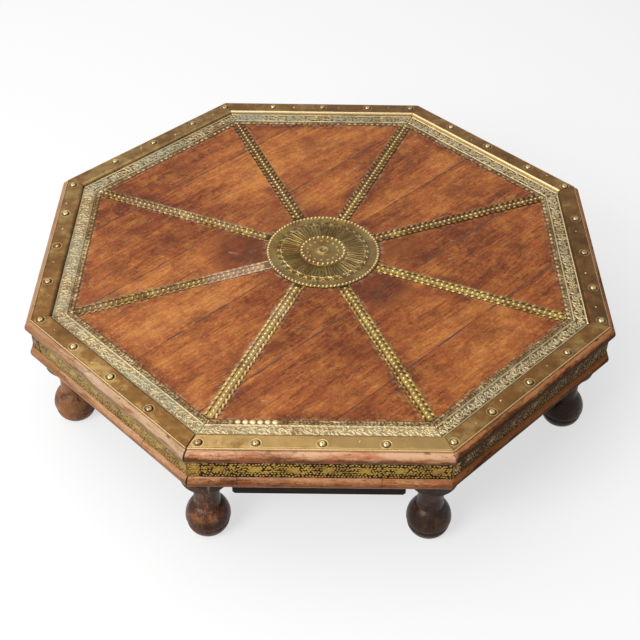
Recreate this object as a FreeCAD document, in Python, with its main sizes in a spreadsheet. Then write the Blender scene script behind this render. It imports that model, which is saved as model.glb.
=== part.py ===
import FreeCAD, Part
import math
import os
import Sketcher

# Octagonal low table of hardwood bound with brass. The origin is on the floor under
# the table's centre, +Z is up and the front side faces -Y. Every side is modelled with
# its outward normal along +X and its length along Y, then turned into place.

SIDES = ("right", "back_right", "back", "back_left", "left", "front_left", "front", "front_right")
CORNERS = ("right_back", "back_right", "back_left", "left_back",
           "left_front", "front_left", "front_right", "right_front")
SIDE_TURN = 360.0 / len(SIDES)
HALF_TURN = SIDE_TURN / 2
BOARD_ANGLE = 45.0
BATTENS = {"batten_front": "front_right", "batten_back": "back_left"}
STRAP_RIBS = range(3)
BOARDS = range(1, 7)

LENGTHS = {
    # overall
    "rim_apothem": 375.0,
    "rim_top": 184.0,
    "frame_depth": 65.0,
    # rim plate of folded sheet brass
    "plate_width": 25.0,
    "plate_thickness": 1.2,
    "plate_lip": 3.0,
    "plate_bend": 5.0,
    # frame rail and the mouldings on its outer face
    "rail_ledge": 46.4,
    "fascia_proud": 0.9,
    "upper_torus_drop": 3.2,
    "upper_torus_height": 17.4,
    "upper_torus_bulge": 7.0,
    "lower_torus_height": 17.6,
    "lower_torus_bulge": 5.6,
    "rim_chamfer": 3.4,
    # boards
    "rim_step": 6.5,
    "board_thickness": 20.0,
    "first_board_width": 111.0,
    "last_board_width": 95.0,
    "tongue_length": 6.0,
    "tongue_thickness": 6.0,
    # embossed border strip
    "border_width": 29.0,
    "border_thickness": 0.8,
    "border_roll_width": 2.6,
    "border_roll_height": 1.0,
    "border_roll_inset": 3.0,
    "border_edge_width": 8.5,
    # straps
    "strap_width": 17.0,
    "strap_thickness": 0.8,
    "strap_rib_width": 4.8,
    "strap_rib_height": 1.5,
    "strap_tuck": 6.0,
    # medallion
    "medallion_radius": 79.0,
    "medallion_core_radius": 67.0,
    "medallion_shift_x": 3.0,
    "medallion_shift_y": 1.0,
    "medallion_edge_height": 0.9,
    "medallion_roll_width": 4.6,
    "medallion_roll_height": 1.7,
    "rosette_radius": 62.0,
    "rosette_floor": 1.3,
    "rosette_axis_height": 0.4,
    "petal_end_radius": 4.3,
    "petal_start_radius": 1.9,
    "petal_edge": 1.2,
    "petal_root": 2.0,
    "hub_radius": 32.5,
    "hub_height": 2.8,
    "hub_bead_radius": 1.7,
    "hub_bead_sink": 0.5,
    "hub_bead_inset": 2.8,
    "boss_radius": 10.0,
    "boss_rise": 2.0,
    # side bands
    "band_thickness": 0.8,
    "band_height": 26.4,
    "band_lap": 16.0,
    # domed nails
    "nail_head_radius": 4.4,
    "nail_head_height": 2.7,
    "nail_shank_radius": 1.3,
    "nail_tip_radius": 0.5,
    "nail_length": 12.0,
    "nail_inset": 10.0,
    "corner_nail_inset": 6.5,
    # turned feet
    "foot_inset": 40.9,
    "foot_bulb_radius": 28.8,
    "foot_base_inset": 9.4,
    "foot_toe_inset": 1.6,
    "foot_toe_height": 14.0,
    "foot_toe_bulge": 1.6,
    "foot_quirk_inset": 2.8,
    "foot_quirk_lift": 4.2,
    "foot_ridge_inset": 0.5,
    "foot_ridge_lift": 2.2,
    "foot_bulb_lift": 1.8,
    "foot_neck_radius": 17.4,
    "foot_neck_low": 48.0,
    "foot_neck_high": 80.0,
    "foot_neck_hollow": 1.0,
    "foot_collar_radius": 19.2,
    "foot_collar_lift": 2.4,
    "foot_cup_radius": 31.5,
    "foot_cup_drop": 23.0,
    "foot_cup_bulge": 0.8,
    "foot_head_radius": 33.0,
    "foot_head_drop": 11.5,
    "spigot_radius": 11.0,
    "spigot_length": 32.0,
    # battens under the boards
    "batten_width": 40.0,
    "batten_depth": 27.0,
    "batten_inset": 11.5,
    "batten_tenon_length": 12.0,
    "batten_tenon_width": 28.0,
    "batten_tenon_depth": 14.0,
    # keys across the mitres
    "key_length": 17.0,
    "key_width": 26.0,
    "key_thickness": 5.0,
    "key_drop": 24.0,
    "key_wall": 5.0,
    # cleats under the frame
    "cleat_height": 38.0,
    "cleat_thickness": 20.0,
    "cleat_foot_gap": 0.6,
    "cleat_chamfer": 3.0,
    "cleat_setback": 22.0,
    # fits
    "wood_gap": 0.1,
    "fit_gap": 0.25,
    "board_gap": 0.4,
    "cut_overrun": 20.0,
}

COUNTS = {
    "side_count": len(SIDES),
    "petal_count": 32,
    "hub_bead_count": 28,
}

# Worked-out sizes. Angles are those of one eighth of a turn.
FORMULAS = {
    "frame_bottom": "rim_top - frame_depth",
    "rim_wood_top": "rim_top - plate_thickness",
    "plate_lip_face": "rim_apothem - plate_thickness",
    "plate_lip_bottom": "rim_top - plate_lip",
    "plate_inner": "rim_apothem - plate_width",
    "plate_fold_face": "plate_inner + plate_thickness",
    "plate_fold_bottom": "board_top + border_thickness + fit_gap",
    "plate_bend_start": "rim_top - plate_bend",
    "plate_bend_end": "plate_inner + plate_bend",
    "plate_bend_inside": "plate_bend - plate_thickness",
    "rebate_wall": "plate_fold_face + fit_gap",
    "rail_inner": "rebate_wall - rail_ledge",
    "rim_chamfer_end": "rebate_wall + rim_chamfer",
    "rim_chamfer_start": "rim_wood_top - rim_chamfer",
    "fascia": "rim_apothem + fascia_proud",
    "rim_wood_face": "plate_lip_face - fit_gap",
    "upper_torus_top": "rim_top - upper_torus_drop",
    "upper_torus_bottom": "upper_torus_top - upper_torus_height",
    "lower_torus_top": "frame_bottom + lower_torus_height",
    "upper_torus_arc": "(upper_torus_height ^ 2 / 4 + upper_torus_bulge ^ 2) / (2 * upper_torus_bulge)",
    "lower_torus_arc": "(lower_torus_height ^ 2 / 4 + lower_torus_bulge ^ 2) / (2 * lower_torus_bulge)",
    "board_top": "rim_top - rim_step",
    "board_bottom": "board_top - board_thickness",
    "panel_apothem": "rebate_wall - board_gap",
    "panel_half_side": f"panel_apothem * tan({HALF_TURN} deg)",
    "inner_board_width": f"(2 * panel_apothem - first_board_width - last_board_width) / {len(BOARDS) - 2}",
    "first_joint": "first_board_width - panel_apothem",
    "tongue_bottom": "board_bottom + (board_thickness - tongue_thickness) / 2",
    "tongue_top": "tongue_bottom + tongue_thickness",
    "groove_bottom": "tongue_bottom - fit_gap",
    "groove_top": "tongue_top + fit_gap",
    "cut_reach": "fascia + upper_torus_bulge + cut_overrun",
    "cut_reach_side": f"cut_reach * tan({HALF_TURN} deg)",
    "mitre_relief": f"wood_gap / cos({HALF_TURN} deg)",
    "cut_reach_mitre": "cut_reach_side - mitre_relief",
    "stock_length": "2 * cut_reach_side",
    "stock_span": "2 * cut_reach",
    # border strip
    "border_outer": "plate_fold_face - fit_gap",
    "border_inner": "border_outer - border_width",
    "border_top": "board_top + border_thickness",
    "outer_roll_high": "plate_inner - border_roll_inset",
    "outer_roll_low": "outer_roll_high - border_roll_width",
    "inner_roll_low": "border_inner + border_edge_width",
    "inner_roll_high": "inner_roll_low + border_roll_width",
    "border_roll_arc": "(border_roll_width ^ 2 / 4 + border_roll_height ^ 2) / (2 * border_roll_height)",
    # straps
    "strap_half": "strap_width / 2",
    "strap_point": f"border_inner / cos({HALF_TURN} deg) - fit_gap",
    "strap_shoulder": f"strap_point - strap_half * tan({HALF_TURN} deg)",
    "strap_start": "medallion_radius - strap_tuck",
    "strap_rib_start": "medallion_radius + medallion_shift_x + medallion_shift_y",
    "strap_rib_gap": f"(strap_width - {len(STRAP_RIBS)} * strap_rib_width) / {len(STRAP_RIBS) + 1}",
    "strap_rib_arc": "(strap_rib_width ^ 2 / 4 + strap_rib_height ^ 2) / (2 * strap_rib_height)",
    "strap_rib_end": f"strap_shoulder - strap_half * tan({HALF_TURN} deg)",
    "strap_rib_length": "strap_rib_end - strap_rib_start",
    "strap_top": "board_top + strap_thickness",
    # medallion, measured up from the boards
    "flange_lift": "strap_thickness + fit_gap",
    "flange_top": "flange_lift + medallion_edge_height",
    "medallion_roll_inner": "medallion_radius - medallion_roll_width",
    "medallion_roll_arc":
        "(medallion_roll_width ^ 2 / 4 + medallion_roll_height ^ 2) / (2 * medallion_roll_height)",
    "boss_top": "hub_height + boss_rise",
    "boss_arc": "(boss_radius ^ 2 + boss_rise ^ 2) / (2 * boss_rise)",
    "petal_end": "rosette_radius - petal_edge",
    "petal_shoulder": "petal_end - petal_end_radius",
    "petal_start": "hub_radius - petal_root",
    "hub_bead_circle": "hub_radius - hub_bead_inset",
    "hub_bead_height": "hub_height - hub_bead_sink",
    # side bands
    "band_face": "fascia + band_thickness",
    "band_bottom": "(upper_torus_bottom + lower_torus_top - band_height) / 2",
    "band_corner": f"band_face * tan({HALF_TURN} deg)",
    "fascia_corner": f"fascia * tan({HALF_TURN} deg)",
    "band_start": "band_corner - band_lap - fit_gap",
    "band_end_x": f"band_face - band_lap * sin({SIDE_TURN} deg)",
    "band_end_y": f"band_corner + band_lap * cos({SIDE_TURN} deg)",
    "band_tail_x": f"band_end_x - band_thickness * cos({SIDE_TURN} deg)",
    "band_tail_y": f"band_end_y - band_thickness * sin({SIDE_TURN} deg)",
    # domed nails
    "nail_apothem": "rim_apothem - nail_inset",
    "nail_row_half": f"nail_apothem * tan({HALF_TURN} deg)",
    "nail_pitch": "nail_row_half / 2",
    "nail_corner": "nail_row_half - corner_nail_inset",
    "nail_head_arc": "(nail_head_radius ^ 2 + nail_head_height ^ 2) / (2 * nail_head_height)",
    "nail_hole_radius": "nail_shank_radius + fit_gap",
    "nail_hole_depth": "nail_length + fit_gap",
    # feet
    "foot_circle": f"rim_apothem / cos({HALF_TURN} deg) - foot_inset",
    "foot_collar_height": "foot_neck_high + foot_collar_lift",
    "foot_cup_height": "frame_bottom - foot_cup_drop",
    "foot_head_height": "frame_bottom - foot_head_drop",
    "foot_base_radius": "foot_bulb_radius - foot_base_inset",
    "foot_toe_radius": "foot_bulb_radius - foot_toe_inset",
    "foot_quirk_radius": "foot_bulb_radius - foot_quirk_inset",
    "foot_ridge_radius": "foot_bulb_radius - foot_ridge_inset",
    "foot_quirk_height": "foot_toe_height + foot_quirk_lift",
    "foot_ridge_height": "foot_quirk_height + foot_ridge_lift",
    "foot_bulb_height": "foot_ridge_height + foot_bulb_lift",
    "toe_chord": "sqrt((foot_base_inset - foot_toe_inset) ^ 2 + foot_toe_height ^ 2)",
    "toe_arc": "(toe_chord ^ 2 / 4 + foot_toe_bulge ^ 2) / (2 * foot_toe_bulge)",
    "bulb_high_side": "foot_bulb_radius - foot_neck_radius",
    "bulb_low_arc": "(foot_ridge_inset ^ 2 + foot_bulb_lift ^ 2) / (2 * foot_ridge_inset)",
    "bulb_high_arc": "(bulb_high_side ^ 2 + (foot_neck_low - foot_bulb_height) ^ 2) / (2 * bulb_high_side)",
    "neck_length": "foot_neck_high - foot_neck_low",
    "neck_arc": "(neck_length ^ 2 / 4 + foot_neck_hollow ^ 2) / (2 * foot_neck_hollow)",
    "cup_chord":
        "sqrt((foot_cup_radius - foot_collar_radius) ^ 2 + (foot_cup_height - foot_collar_height) ^ 2)",
    "cup_arc": "(cup_chord ^ 2 / 4 + foot_cup_bulge ^ 2) / (2 * foot_cup_bulge)",
    "spigot_top": "frame_bottom + spigot_length",
    "socket_radius": "spigot_radius + fit_gap",
    "socket_top": "spigot_top + fit_gap",
    "socket_x": f"foot_circle * cos({HALF_TURN} deg)",
    "socket_y": f"foot_circle * sin({HALF_TURN} deg)",
    # battens
    "batten_bottom": "board_bottom - batten_depth",
    "batten_length": "2 * (rail_inner - fit_gap)",
    "batten_tenon_reach": "2 * (rail_inner + batten_tenon_length)",
    "tenon_bottom": "board_bottom - (batten_depth + batten_tenon_depth) / 2",
    "tenon_top": "tenon_bottom + batten_tenon_depth",
    "batten_far": f"rail_inner * tan({HALF_TURN} deg) - batten_inset",
    "batten_near": "batten_far - batten_width",
    "batten_offset": "batten_far - batten_width / 2",
    "tenon_near": "batten_offset - batten_tenon_width / 2",
    "tenon_far": "batten_offset + batten_tenon_width / 2",
    "mortise_near": "tenon_near - fit_gap",
    "mortise_far": "tenon_far + fit_gap",
    "mortise_bottom": "tenon_bottom - fit_gap",
    "mortise_top": "tenon_top + fit_gap",
    "mortise_reach": "rail_inner + batten_tenon_length + fit_gap",
    # mitre keys
    "key_bottom": "rim_top - key_drop",
    "key_near": f"rebate_wall / cos({HALF_TURN} deg) + key_wall",
    "key_far": "key_near + key_length",
    "key_half": "key_width / 2",
    "slot_near": "key_near - fit_gap",
    "slot_far": "key_far + fit_gap",
    "slot_half": "key_half + fit_gap",
    "slot_bottom": "key_bottom - fit_gap",
    "slot_height": "key_thickness + 2 * fit_gap",
    # cleats
    "cleat_bottom": "frame_bottom - cleat_height",
    "cleat_face": "fascia - cleat_setback",
    "cleat_back": "cleat_face - cleat_thickness",
    "cleat_half": "socket_y - foot_head_radius - cleat_foot_gap",
    "cleat_foot": "cleat_half - cleat_chamfer",
    "cleat_chamfer_top": "cleat_bottom + cleat_chamfer",
}


def rib_formulas():
    """Edges of each strap rib, across the strap."""
    left = {f"rib_{rib}_left": f"{rib + 1} * strap_rib_gap + {rib} * strap_rib_width - strap_half"
            for rib in STRAP_RIBS}
    right = {f"rib_{rib}_right": f"rib_{rib}_left + strap_rib_width" for rib in STRAP_RIBS}
    return {**left, **right}


def board_formulas():
    """Edges of each board, its groove and its tongue, across the boards. The panel bounds the outer two."""
    cells = {}
    for board in BOARDS:
        near = f"first_joint + {board - 2} * inner_board_width"
        far = f"first_joint + {board - 1} * inner_board_width - board_gap"
        cells[f"board_{board}_low"] = "-panel_apothem" if board == BOARDS[0] else near
        cells[f"board_{board}_high"] = "panel_apothem" if board == BOARDS[-1] else far
        cells[f"board_{board}_groove"] = f"board_{board}_low + tongue_length + board_gap"
        cells[f"board_{board}_tongue"] = f"board_{board}_high + tongue_length"
    return cells


doc = FreeCAD.newDocument("LowTable")
sheet = doc.addObject("Spreadsheet::Sheet", "Sizes")
subparts = []


def fill_sheet():
    """Put every named size in the sheet: the name in column A, the value in column B."""
    cells = {name: str(value) for name, value in {**LENGTHS, **COUNTS}.items()}
    formulas = {**FORMULAS, **rib_formulas(), **board_formulas()}
    cells.update({name: "=" + formula for name, formula in formulas.items()})
    for row, name in enumerate(cells, start=1):
        sheet.set(f"A{row}", name)
        sheet.setAlias(f"B{row}", name)
    for row, name in enumerate(cells, start=1):
        sheet.set(f"B{row}", cells[name])
    doc.recompute()


def size(name):
    """Value of a named size. A leading minus gives its negative, and None gives zero."""
    if name is None:
        return 0.0
    if name.startswith("-"):
        return -float(sheet.get(name[1:]))
    return float(sheet.get(name))


def negative(name):
    """The same named size with its sign turned."""
    if name is None:
        return None
    return name[1:] if name.startswith("-") else "-" + name


def bound(name):
    """Expression that ties a property to a named size."""
    return "-Sizes." + name[1:] if name.startswith("-") else "Sizes." + name


def new_body(label, turn=0.0):
    """Body of one sub-part, turned about the table's axis."""
    body = doc.addObject("PartDesign::Body", label)
    body.Label = label
    body.Placement = FreeCAD.Placement(FreeCAD.Vector(), FreeCAD.Rotation(FreeCAD.Vector(0, 0, 1), turn))
    subparts.append(body)
    return body


def plane_of(body, role):
    return next(item for item in body.Origin.OriginFeatures if item.Role == role)


def new_sketch(body, name, role, shift=(None, None, None), turn=0.0):
    """Sketch on one of the body's own planes, moved by named sizes in that plane's own axes."""
    sketch = body.newObject("Sketcher::SketchObject", f"{body.Name}_{name}")
    sketch.AttachmentSupport = [(plane_of(body, role), "")]
    sketch.MapMode = "FlatFace"
    sketch.AttachmentOffset = FreeCAD.Placement(
        FreeCAD.Vector(*[size(item) for item in shift]),
        FreeCAD.Rotation(FreeCAD.Vector(0, 0, 1), turn))
    for axis, item in zip("xyz", shift):
        if item:
            sketch.setExpression(f"AttachmentOffset.Base.{axis}", bound(item))
    return sketch


def tie(sketch, *constraint, to):
    """Add a constraint whose value is a named size."""
    index = sketch.addConstraint(Sketcher.Constraint(*constraint, size(to)))
    sketch.setExpression(f"Constraints[{index}]", bound(to))


def place_point(sketch, edge, end, across, up):
    """Hold one end of an edge at named distances from the sketch's origin."""
    origin, horizontal, vertical = (-1, 1), -1, -2
    if across is None:
        sketch.addConstraint(Sketcher.Constraint("PointOnObject", edge, end, vertical))
    else:
        tie(sketch, "DistanceX", *origin, edge, end, to=across)
    if up is None:
        sketch.addConstraint(Sketcher.Constraint("PointOnObject", edge, end, horizontal))
    else:
        tie(sketch, "DistanceY", *origin, edge, end, to=up)


def arc_between(start, end, radius, hollow):
    """Arc of under half a circle from start to end, bulging to the right of the way, or left if hollow."""
    if hollow:
        start, end = end, start
    chord = end - start
    rise = math.sqrt(max(radius ** 2 - (chord.Length / 2) ** 2, 0.0))
    inward = FreeCAD.Vector(-chord.y, chord.x, 0).normalize()
    centre = (start + end) / 2 + inward * rise
    angles = [math.atan2((point - centre).y, (point - centre).x) for point in (start, end)]
    return Part.ArcOfCircle(Part.Circle(centre, FreeCAD.Vector(0, 0, 1), radius), *angles)


def draw_outline(sketch, corners):
    """Closed outline, counter-clockwise. A corner is (across, up) in named sizes. A third
    name makes the edge that leaves it a round arc of that radius, and a minus before that
    name makes the arc hollow."""
    points = [FreeCAD.Vector(size(corner[0]), size(corner[1]), 0) for corner in corners]
    heads = []
    tails = []
    for index, corner in enumerate(corners):
        start, end = points[index], points[(index + 1) % len(points)]
        radius = corner[2] if len(corner) > 2 else None
        hollow = bool(radius) and radius.startswith("-")
        if radius:
            edge = sketch.addGeometry(arc_between(start, end, abs(size(radius)), hollow), False)
            tie(sketch, "Radius", edge, to=radius.lstrip("-"))
        else:
            edge = sketch.addGeometry(Part.LineSegment(start, end), False)
        heads.append((edge, 2 if hollow else 1))
        tails.append((edge, 1 if hollow else 2))
    for index, corner in enumerate(corners):
        sketch.addConstraint(Sketcher.Constraint("Coincident", *tails[index - 1], *heads[index]))
        place_point(sketch, *heads[index], corner[0], corner[1])


def draw_circle(sketch, across, up, radius):
    centre = FreeCAD.Vector(size(across), size(up), 0)
    edge = sketch.addGeometry(Part.Circle(centre, FreeCAD.Vector(0, 0, 1), size(radius)), False)
    place_point(sketch, edge, 3, across, up)
    tie(sketch, "Radius", edge, to=radius)


def rectangle(left, right, low, high):
    return ((left, low), (right, low), (right, high), (left, high))


def add_pad(body, sketch, length, symmetric=False):
    pad = body.newObject("PartDesign::Pad", sketch.Name + "_pad")
    pad.Profile = sketch
    pad.SideType = "Symmetric" if symmetric else "One side"
    pad.setExpression("Length", bound(length))
    return pad


def add_pocket(body, sketch, length, along_normal):
    """Pocket that runs along the sketch plane's normal, or against it."""
    pocket = body.newObject("PartDesign::Pocket", sketch.Name + "_pocket")
    pocket.Profile = sketch
    pocket.Reversed = along_normal
    pocket.setExpression("Length", bound(length))
    return pocket


def add_revolution(body, sketch, axis, angle=360.0):
    """Turn a sketch about one of its own axes. Part of a turn is shared equally to both sides."""
    turned = body.newObject("PartDesign::Revolution", sketch.Name + "_turned")
    turned.Profile = sketch
    turned.ReferenceAxis = (sketch, [axis])
    turned.Angle = angle
    turned.Midplane = angle < 360.0
    return turned


def add_mirror(body, features, role="XZ_Plane"):
    mirror = body.newObject("PartDesign::Mirrored", features[0].Name + "_mirror")
    mirror.Originals = features
    mirror.MirrorPlane = (plane_of(body, role), [""])
    body.Tip = mirror
    return mirror


def add_ring(body, features, count):
    """Repeat features evenly round the body's upright axis."""
    ring = body.newObject("PartDesign::PolarPattern", features[0].Name + "_ring")
    ring.Originals = features
    ring.Axis = (plane_of(body, "Z_Axis"), [""])
    ring.Angle = 360.0
    ring.setExpression("Occurrences", bound(count))
    body.Tip = ring
    return ring


def add_moulding(body, name, corners):
    """Length of one side: a section run along Y and cut at both ends on the mitre lines."""
    section = new_sketch(body, name, "XZ_Plane")
    draw_outline(section, corners)
    add_pad(body, section, "stock_length", symmetric=True)
    waste = new_sketch(body, name + "_mitre", "XY_Plane")
    draw_outline(waste, ((None, "-mitre_relief"), ("cut_reach", "cut_reach_mitre"),
                         ("cut_reach", "cut_reach"), (None, "cut_reach")))
    cut = add_pocket(body, waste, "cut_reach", along_normal=True)
    add_mirror(body, [cut])


def nail_places():
    """Places of one side's nails along the side: three evenly spaced and one beside the mitre."""
    return ("-nail_corner", "-nail_pitch", None, "nail_pitch")


def add_nail_holes(body):
    holes = new_sketch(body, "nail_holes", "XY_Plane", shift=(None, None, "rim_top"))
    for place in nail_places():
        draw_circle(holes, "nail_apothem", place, "nail_hole_radius")
    body.Tip = add_pocket(body, holes, "nail_hole_depth", along_normal=False)


def make_rail(label, turn, battened):
    """Frame rail: rebate for the boards inside, two rounded mouldings with a flat between outside."""
    body = new_body(label, turn)
    add_moulding(body, "section", (
        ("rail_inner", "frame_bottom"),
        ("fascia", "frame_bottom", "lower_torus_arc"),
        ("fascia", "lower_torus_top"),
        ("fascia", "upper_torus_bottom", "upper_torus_arc"),
        ("fascia", "upper_torus_top"),
        ("rim_wood_face", "upper_torus_top"),
        ("rim_wood_face", "rim_wood_top"),
        ("rim_chamfer_end", "rim_wood_top"),
        ("rebate_wall", "rim_chamfer_start"),
        ("rebate_wall", "board_bottom"),
        ("rail_inner", "board_bottom")))
    socket = new_sketch(body, "foot_socket", "XY_Plane")
    draw_circle(socket, "socket_x", "socket_y", "socket_radius")
    bore = add_pocket(body, socket, "socket_top", along_normal=True)
    add_mirror(body, [bore])
    slot = new_sketch(body, "key_slot", "XY_Plane", shift=(None, None, "slot_bottom"), turn=HALF_TURN)
    draw_outline(slot, rectangle("slot_near", "slot_far", "-slot_half", "slot_half"))
    groove = add_pocket(body, slot, "slot_height", along_normal=True)
    add_mirror(body, [groove])
    add_nail_holes(body)
    if battened:
        mortise = new_sketch(body, "mortise", "YZ_Plane")
        draw_outline(mortise, rectangle("mortise_near", "mortise_far", "mortise_bottom", "mortise_top"))
        cut = add_pocket(body, mortise, "mortise_reach", along_normal=True)
        add_mirror(body, [cut])


def make_rim_plate(label, turn):
    """Sheet brass on the rim's top, folded down to the border inside and over the edge outside."""
    body = new_body(label, turn)
    add_moulding(body, "section", (
        ("plate_inner", "plate_fold_bottom"),
        ("plate_fold_face", "plate_fold_bottom"),
        ("plate_fold_face", "plate_bend_start", "-plate_bend_inside"),
        ("plate_bend_end", "rim_wood_top"),
        ("plate_lip_face", "rim_wood_top"),
        ("plate_lip_face", "plate_lip_bottom"),
        ("rim_apothem", "plate_lip_bottom"),
        ("rim_apothem", "rim_top"),
        ("plate_bend_end", "rim_top", "plate_bend"),
        ("plate_inner", "plate_bend_start")))
    add_nail_holes(body)


def make_border(label, turn):
    """Border strip on the boards, with a raised roll on each side of its embossed field."""
    body = new_body(label, turn)
    add_moulding(body, "section", (
        ("border_inner", "board_top"),
        ("border_outer", "board_top"),
        ("border_outer", "border_top"),
        ("outer_roll_high", "border_top", "border_roll_arc"),
        ("outer_roll_low", "border_top"),
        ("inner_roll_high", "border_top", "border_roll_arc"),
        ("inner_roll_low", "border_top"),
        ("border_inner", "border_top")))


def make_band(label, turn):
    """Side band in the flat between the mouldings, lapped round the corner onto the next side."""
    body = new_body(label, turn)
    plan = new_sketch(body, "plan", "XY_Plane", shift=(None, None, "band_bottom"))
    draw_outline(plan, (
        ("fascia", "-band_start"),
        ("band_face", "-band_start"),
        ("band_face", "band_corner"),
        ("band_end_x", "band_end_y"),
        ("band_tail_x", "band_tail_y"),
        ("fascia", "fascia_corner")))
    body.Tip = add_pad(body, plan, "band_height")


def make_strap(label, turn):
    """Strap from the medallion to the border's corner: a flat strip with three raised ribs."""
    body = new_body(label, turn)
    strip = new_sketch(body, "strip", "XY_Plane", shift=(None, None, "board_top"))
    draw_outline(strip, (
        ("strap_start", "-strap_half"),
        ("strap_shoulder", "-strap_half"),
        ("strap_point", None),
        ("strap_shoulder", "strap_half"),
        ("strap_start", "strap_half")))
    add_pad(body, strip, "strap_thickness")
    for rib in STRAP_RIBS:
        add_strap_rib(body, rib)


def add_strap_rib(body, rib):
    """Half-round rib along the strap, one of three side by side."""
    names = [f"rib_{rib}_left", f"rib_{rib}_right"]
    section = new_sketch(body, f"rib_{rib}", "YZ_Plane", shift=(None, "strap_top", "strap_rib_start"))
    draw_outline(section, ((names[0], None), (names[1], None, "strap_rib_arc")))
    body.Tip = add_pad(body, section, "strap_rib_length")


def make_medallion():
    """Rosette: a flanged disc with a rolled edge, a ring of round-ended petals, a beaded hub and a boss."""
    body = new_body("medallion")
    for axis in "xy":
        body.setExpression(f"Placement.Base.{axis}", f"Sizes.medallion_shift_{axis}")
    body.setExpression("Placement.Base.z", "Sizes.board_top")
    disc = new_sketch(body, "disc", "XZ_Plane")
    draw_outline(disc, (
        (None, None),
        ("medallion_core_radius", None),
        ("medallion_core_radius", "flange_lift"),
        ("medallion_radius", "flange_lift"),
        ("medallion_radius", "flange_top", "medallion_roll_arc"),
        ("medallion_roll_inner", "flange_top"),
        ("rosette_radius", "flange_top"),
        ("rosette_radius", "rosette_floor"),
        ("hub_radius", "rosette_floor"),
        ("hub_radius", "hub_height"),
        ("boss_radius", "hub_height", "boss_arc"),
        (None, "boss_top")))
    add_revolution(body, disc, "V_Axis")
    petal = new_sketch(body, "petal", "XZ_Plane", shift=(None, "rosette_axis_height", None))
    draw_outline(petal, (
        ("petal_start", None),
        ("petal_end", None, "petal_end_radius"),
        ("petal_shoulder", "petal_end_radius"),
        ("petal_start", "petal_start_radius")))
    ridge = add_revolution(body, petal, "H_Axis", angle=180.0)
    add_ring(body, [ridge], "petal_count")
    bead = body.newObject("PartDesign::AdditiveSphere", "medallion_bead")
    bead.setExpression("Radius", "Sizes.hub_bead_radius")
    bead.setExpression("Placement.Base.x", "Sizes.hub_bead_circle")
    bead.setExpression("Placement.Base.z", "Sizes.hub_bead_height")
    add_ring(body, [bead], "hub_bead_count")


def make_foot(label, turn):
    """Turned foot: round toe, quirk, ridge, bulb, hollow neck, cup and head, and a spigot into the mitre."""
    body = new_body(label, turn)
    body.setExpression("Placement.Base.x", f"Sizes.foot_circle * cos({turn} deg)")
    body.setExpression("Placement.Base.y", f"Sizes.foot_circle * sin({turn} deg)")
    profile = new_sketch(body, "profile", "XZ_Plane")
    draw_outline(profile, (
        (None, None),
        ("foot_base_radius", None, "toe_arc"),
        ("foot_toe_radius", "foot_toe_height"),
        ("foot_quirk_radius", "foot_quirk_height"),
        ("foot_ridge_radius", "foot_ridge_height", "bulb_low_arc"),
        ("foot_bulb_radius", "foot_bulb_height", "bulb_high_arc"),
        ("foot_neck_radius", "foot_neck_low", "-neck_arc"),
        ("foot_neck_radius", "foot_neck_high"),
        ("foot_collar_radius", "foot_collar_height", "cup_arc"),
        ("foot_cup_radius", "foot_cup_height"),
        ("foot_head_radius", "foot_head_height"),
        ("foot_head_radius", "frame_bottom"),
        ("spigot_radius", "frame_bottom"),
        ("spigot_radius", "spigot_top"),
        (None, "spigot_top")))
    body.Tip = add_revolution(body, profile, "V_Axis")


def make_board(number):
    """Top board with a tongue on its far edge and a groove in its near one, trimmed to the octagon."""
    edge = f"board_{number}_"
    body = new_body(f"board_{number}", BOARD_ANGLE)
    far_side = [(edge + "high", "board_bottom"), (edge + "high", "board_top")]
    if number != BOARDS[-1]:
        far_side[1:1] = [(edge + "high", "tongue_bottom"), (edge + "tongue", "tongue_bottom"),
                         (edge + "tongue", "tongue_top"), (edge + "high", "tongue_top")]
    near_side = [(edge + "low", "board_top"), (edge + "low", "board_bottom")]
    if number != BOARDS[0]:
        near_side[1:1] = [(edge + "low", "groove_top"), (edge + "groove", "groove_top"),
                          (edge + "groove", "groove_bottom"), (edge + "low", "groove_bottom")]
    section = new_sketch(body, "section", "YZ_Plane")
    draw_outline(section, far_side + near_side)
    add_pad(body, section, "stock_span", symmetric=True)
    trim = new_sketch(body, "trim", "XY_Plane")
    draw_outline(trim, rectangle("-cut_reach", "cut_reach", "-cut_reach", "cut_reach"))
    flat, half = "panel_apothem", "panel_half_side"
    draw_outline(trim, ((flat, "-" + half), (flat, half), (half, flat), ("-" + half, flat),
                        ("-" + flat, half), ("-" + flat, "-" + half), ("-" + half, "-" + flat),
                        (half, "-" + flat)))
    body.Tip = add_pocket(body, trim, "rim_top", along_normal=True)


def make_battens():
    """Two battens across the boards' undersides, with a stub tenon at each end."""
    for label, side in BATTENS.items():
        body = new_body(label, SIDE_TURN * SIDES.index(side))
        bar = new_sketch(body, "bar", "YZ_Plane")
        draw_outline(bar, rectangle("batten_near", "batten_far", "batten_bottom", "board_bottom"))
        add_pad(body, bar, "batten_length", symmetric=True)
        tenon = new_sketch(body, "tenon", "YZ_Plane")
        draw_outline(tenon, rectangle("tenon_near", "tenon_far", "tenon_bottom", "tenon_top"))
        body.Tip = add_pad(body, tenon, "batten_tenon_reach", symmetric=True)


def make_nails():
    """Domed nails round the rim, with tapered shanks through the plates into the rails."""
    body = new_body("dome_nails")
    nails = []
    for number, place in enumerate(nail_places()):
        shift = ("nail_apothem", "rim_top", negative(place))
        profile = new_sketch(body, f"nail_{number}", "XZ_Plane", shift)
        draw_outline(profile, (
            (None, "-nail_length"),
            ("nail_tip_radius", "-nail_length"),
            ("nail_shank_radius", None),
            ("nail_head_radius", None, "nail_head_arc"),
            (None, "nail_head_height")))
        nails.append(add_revolution(body, profile, "V_Axis"))
    add_ring(body, nails, "side_count")


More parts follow.
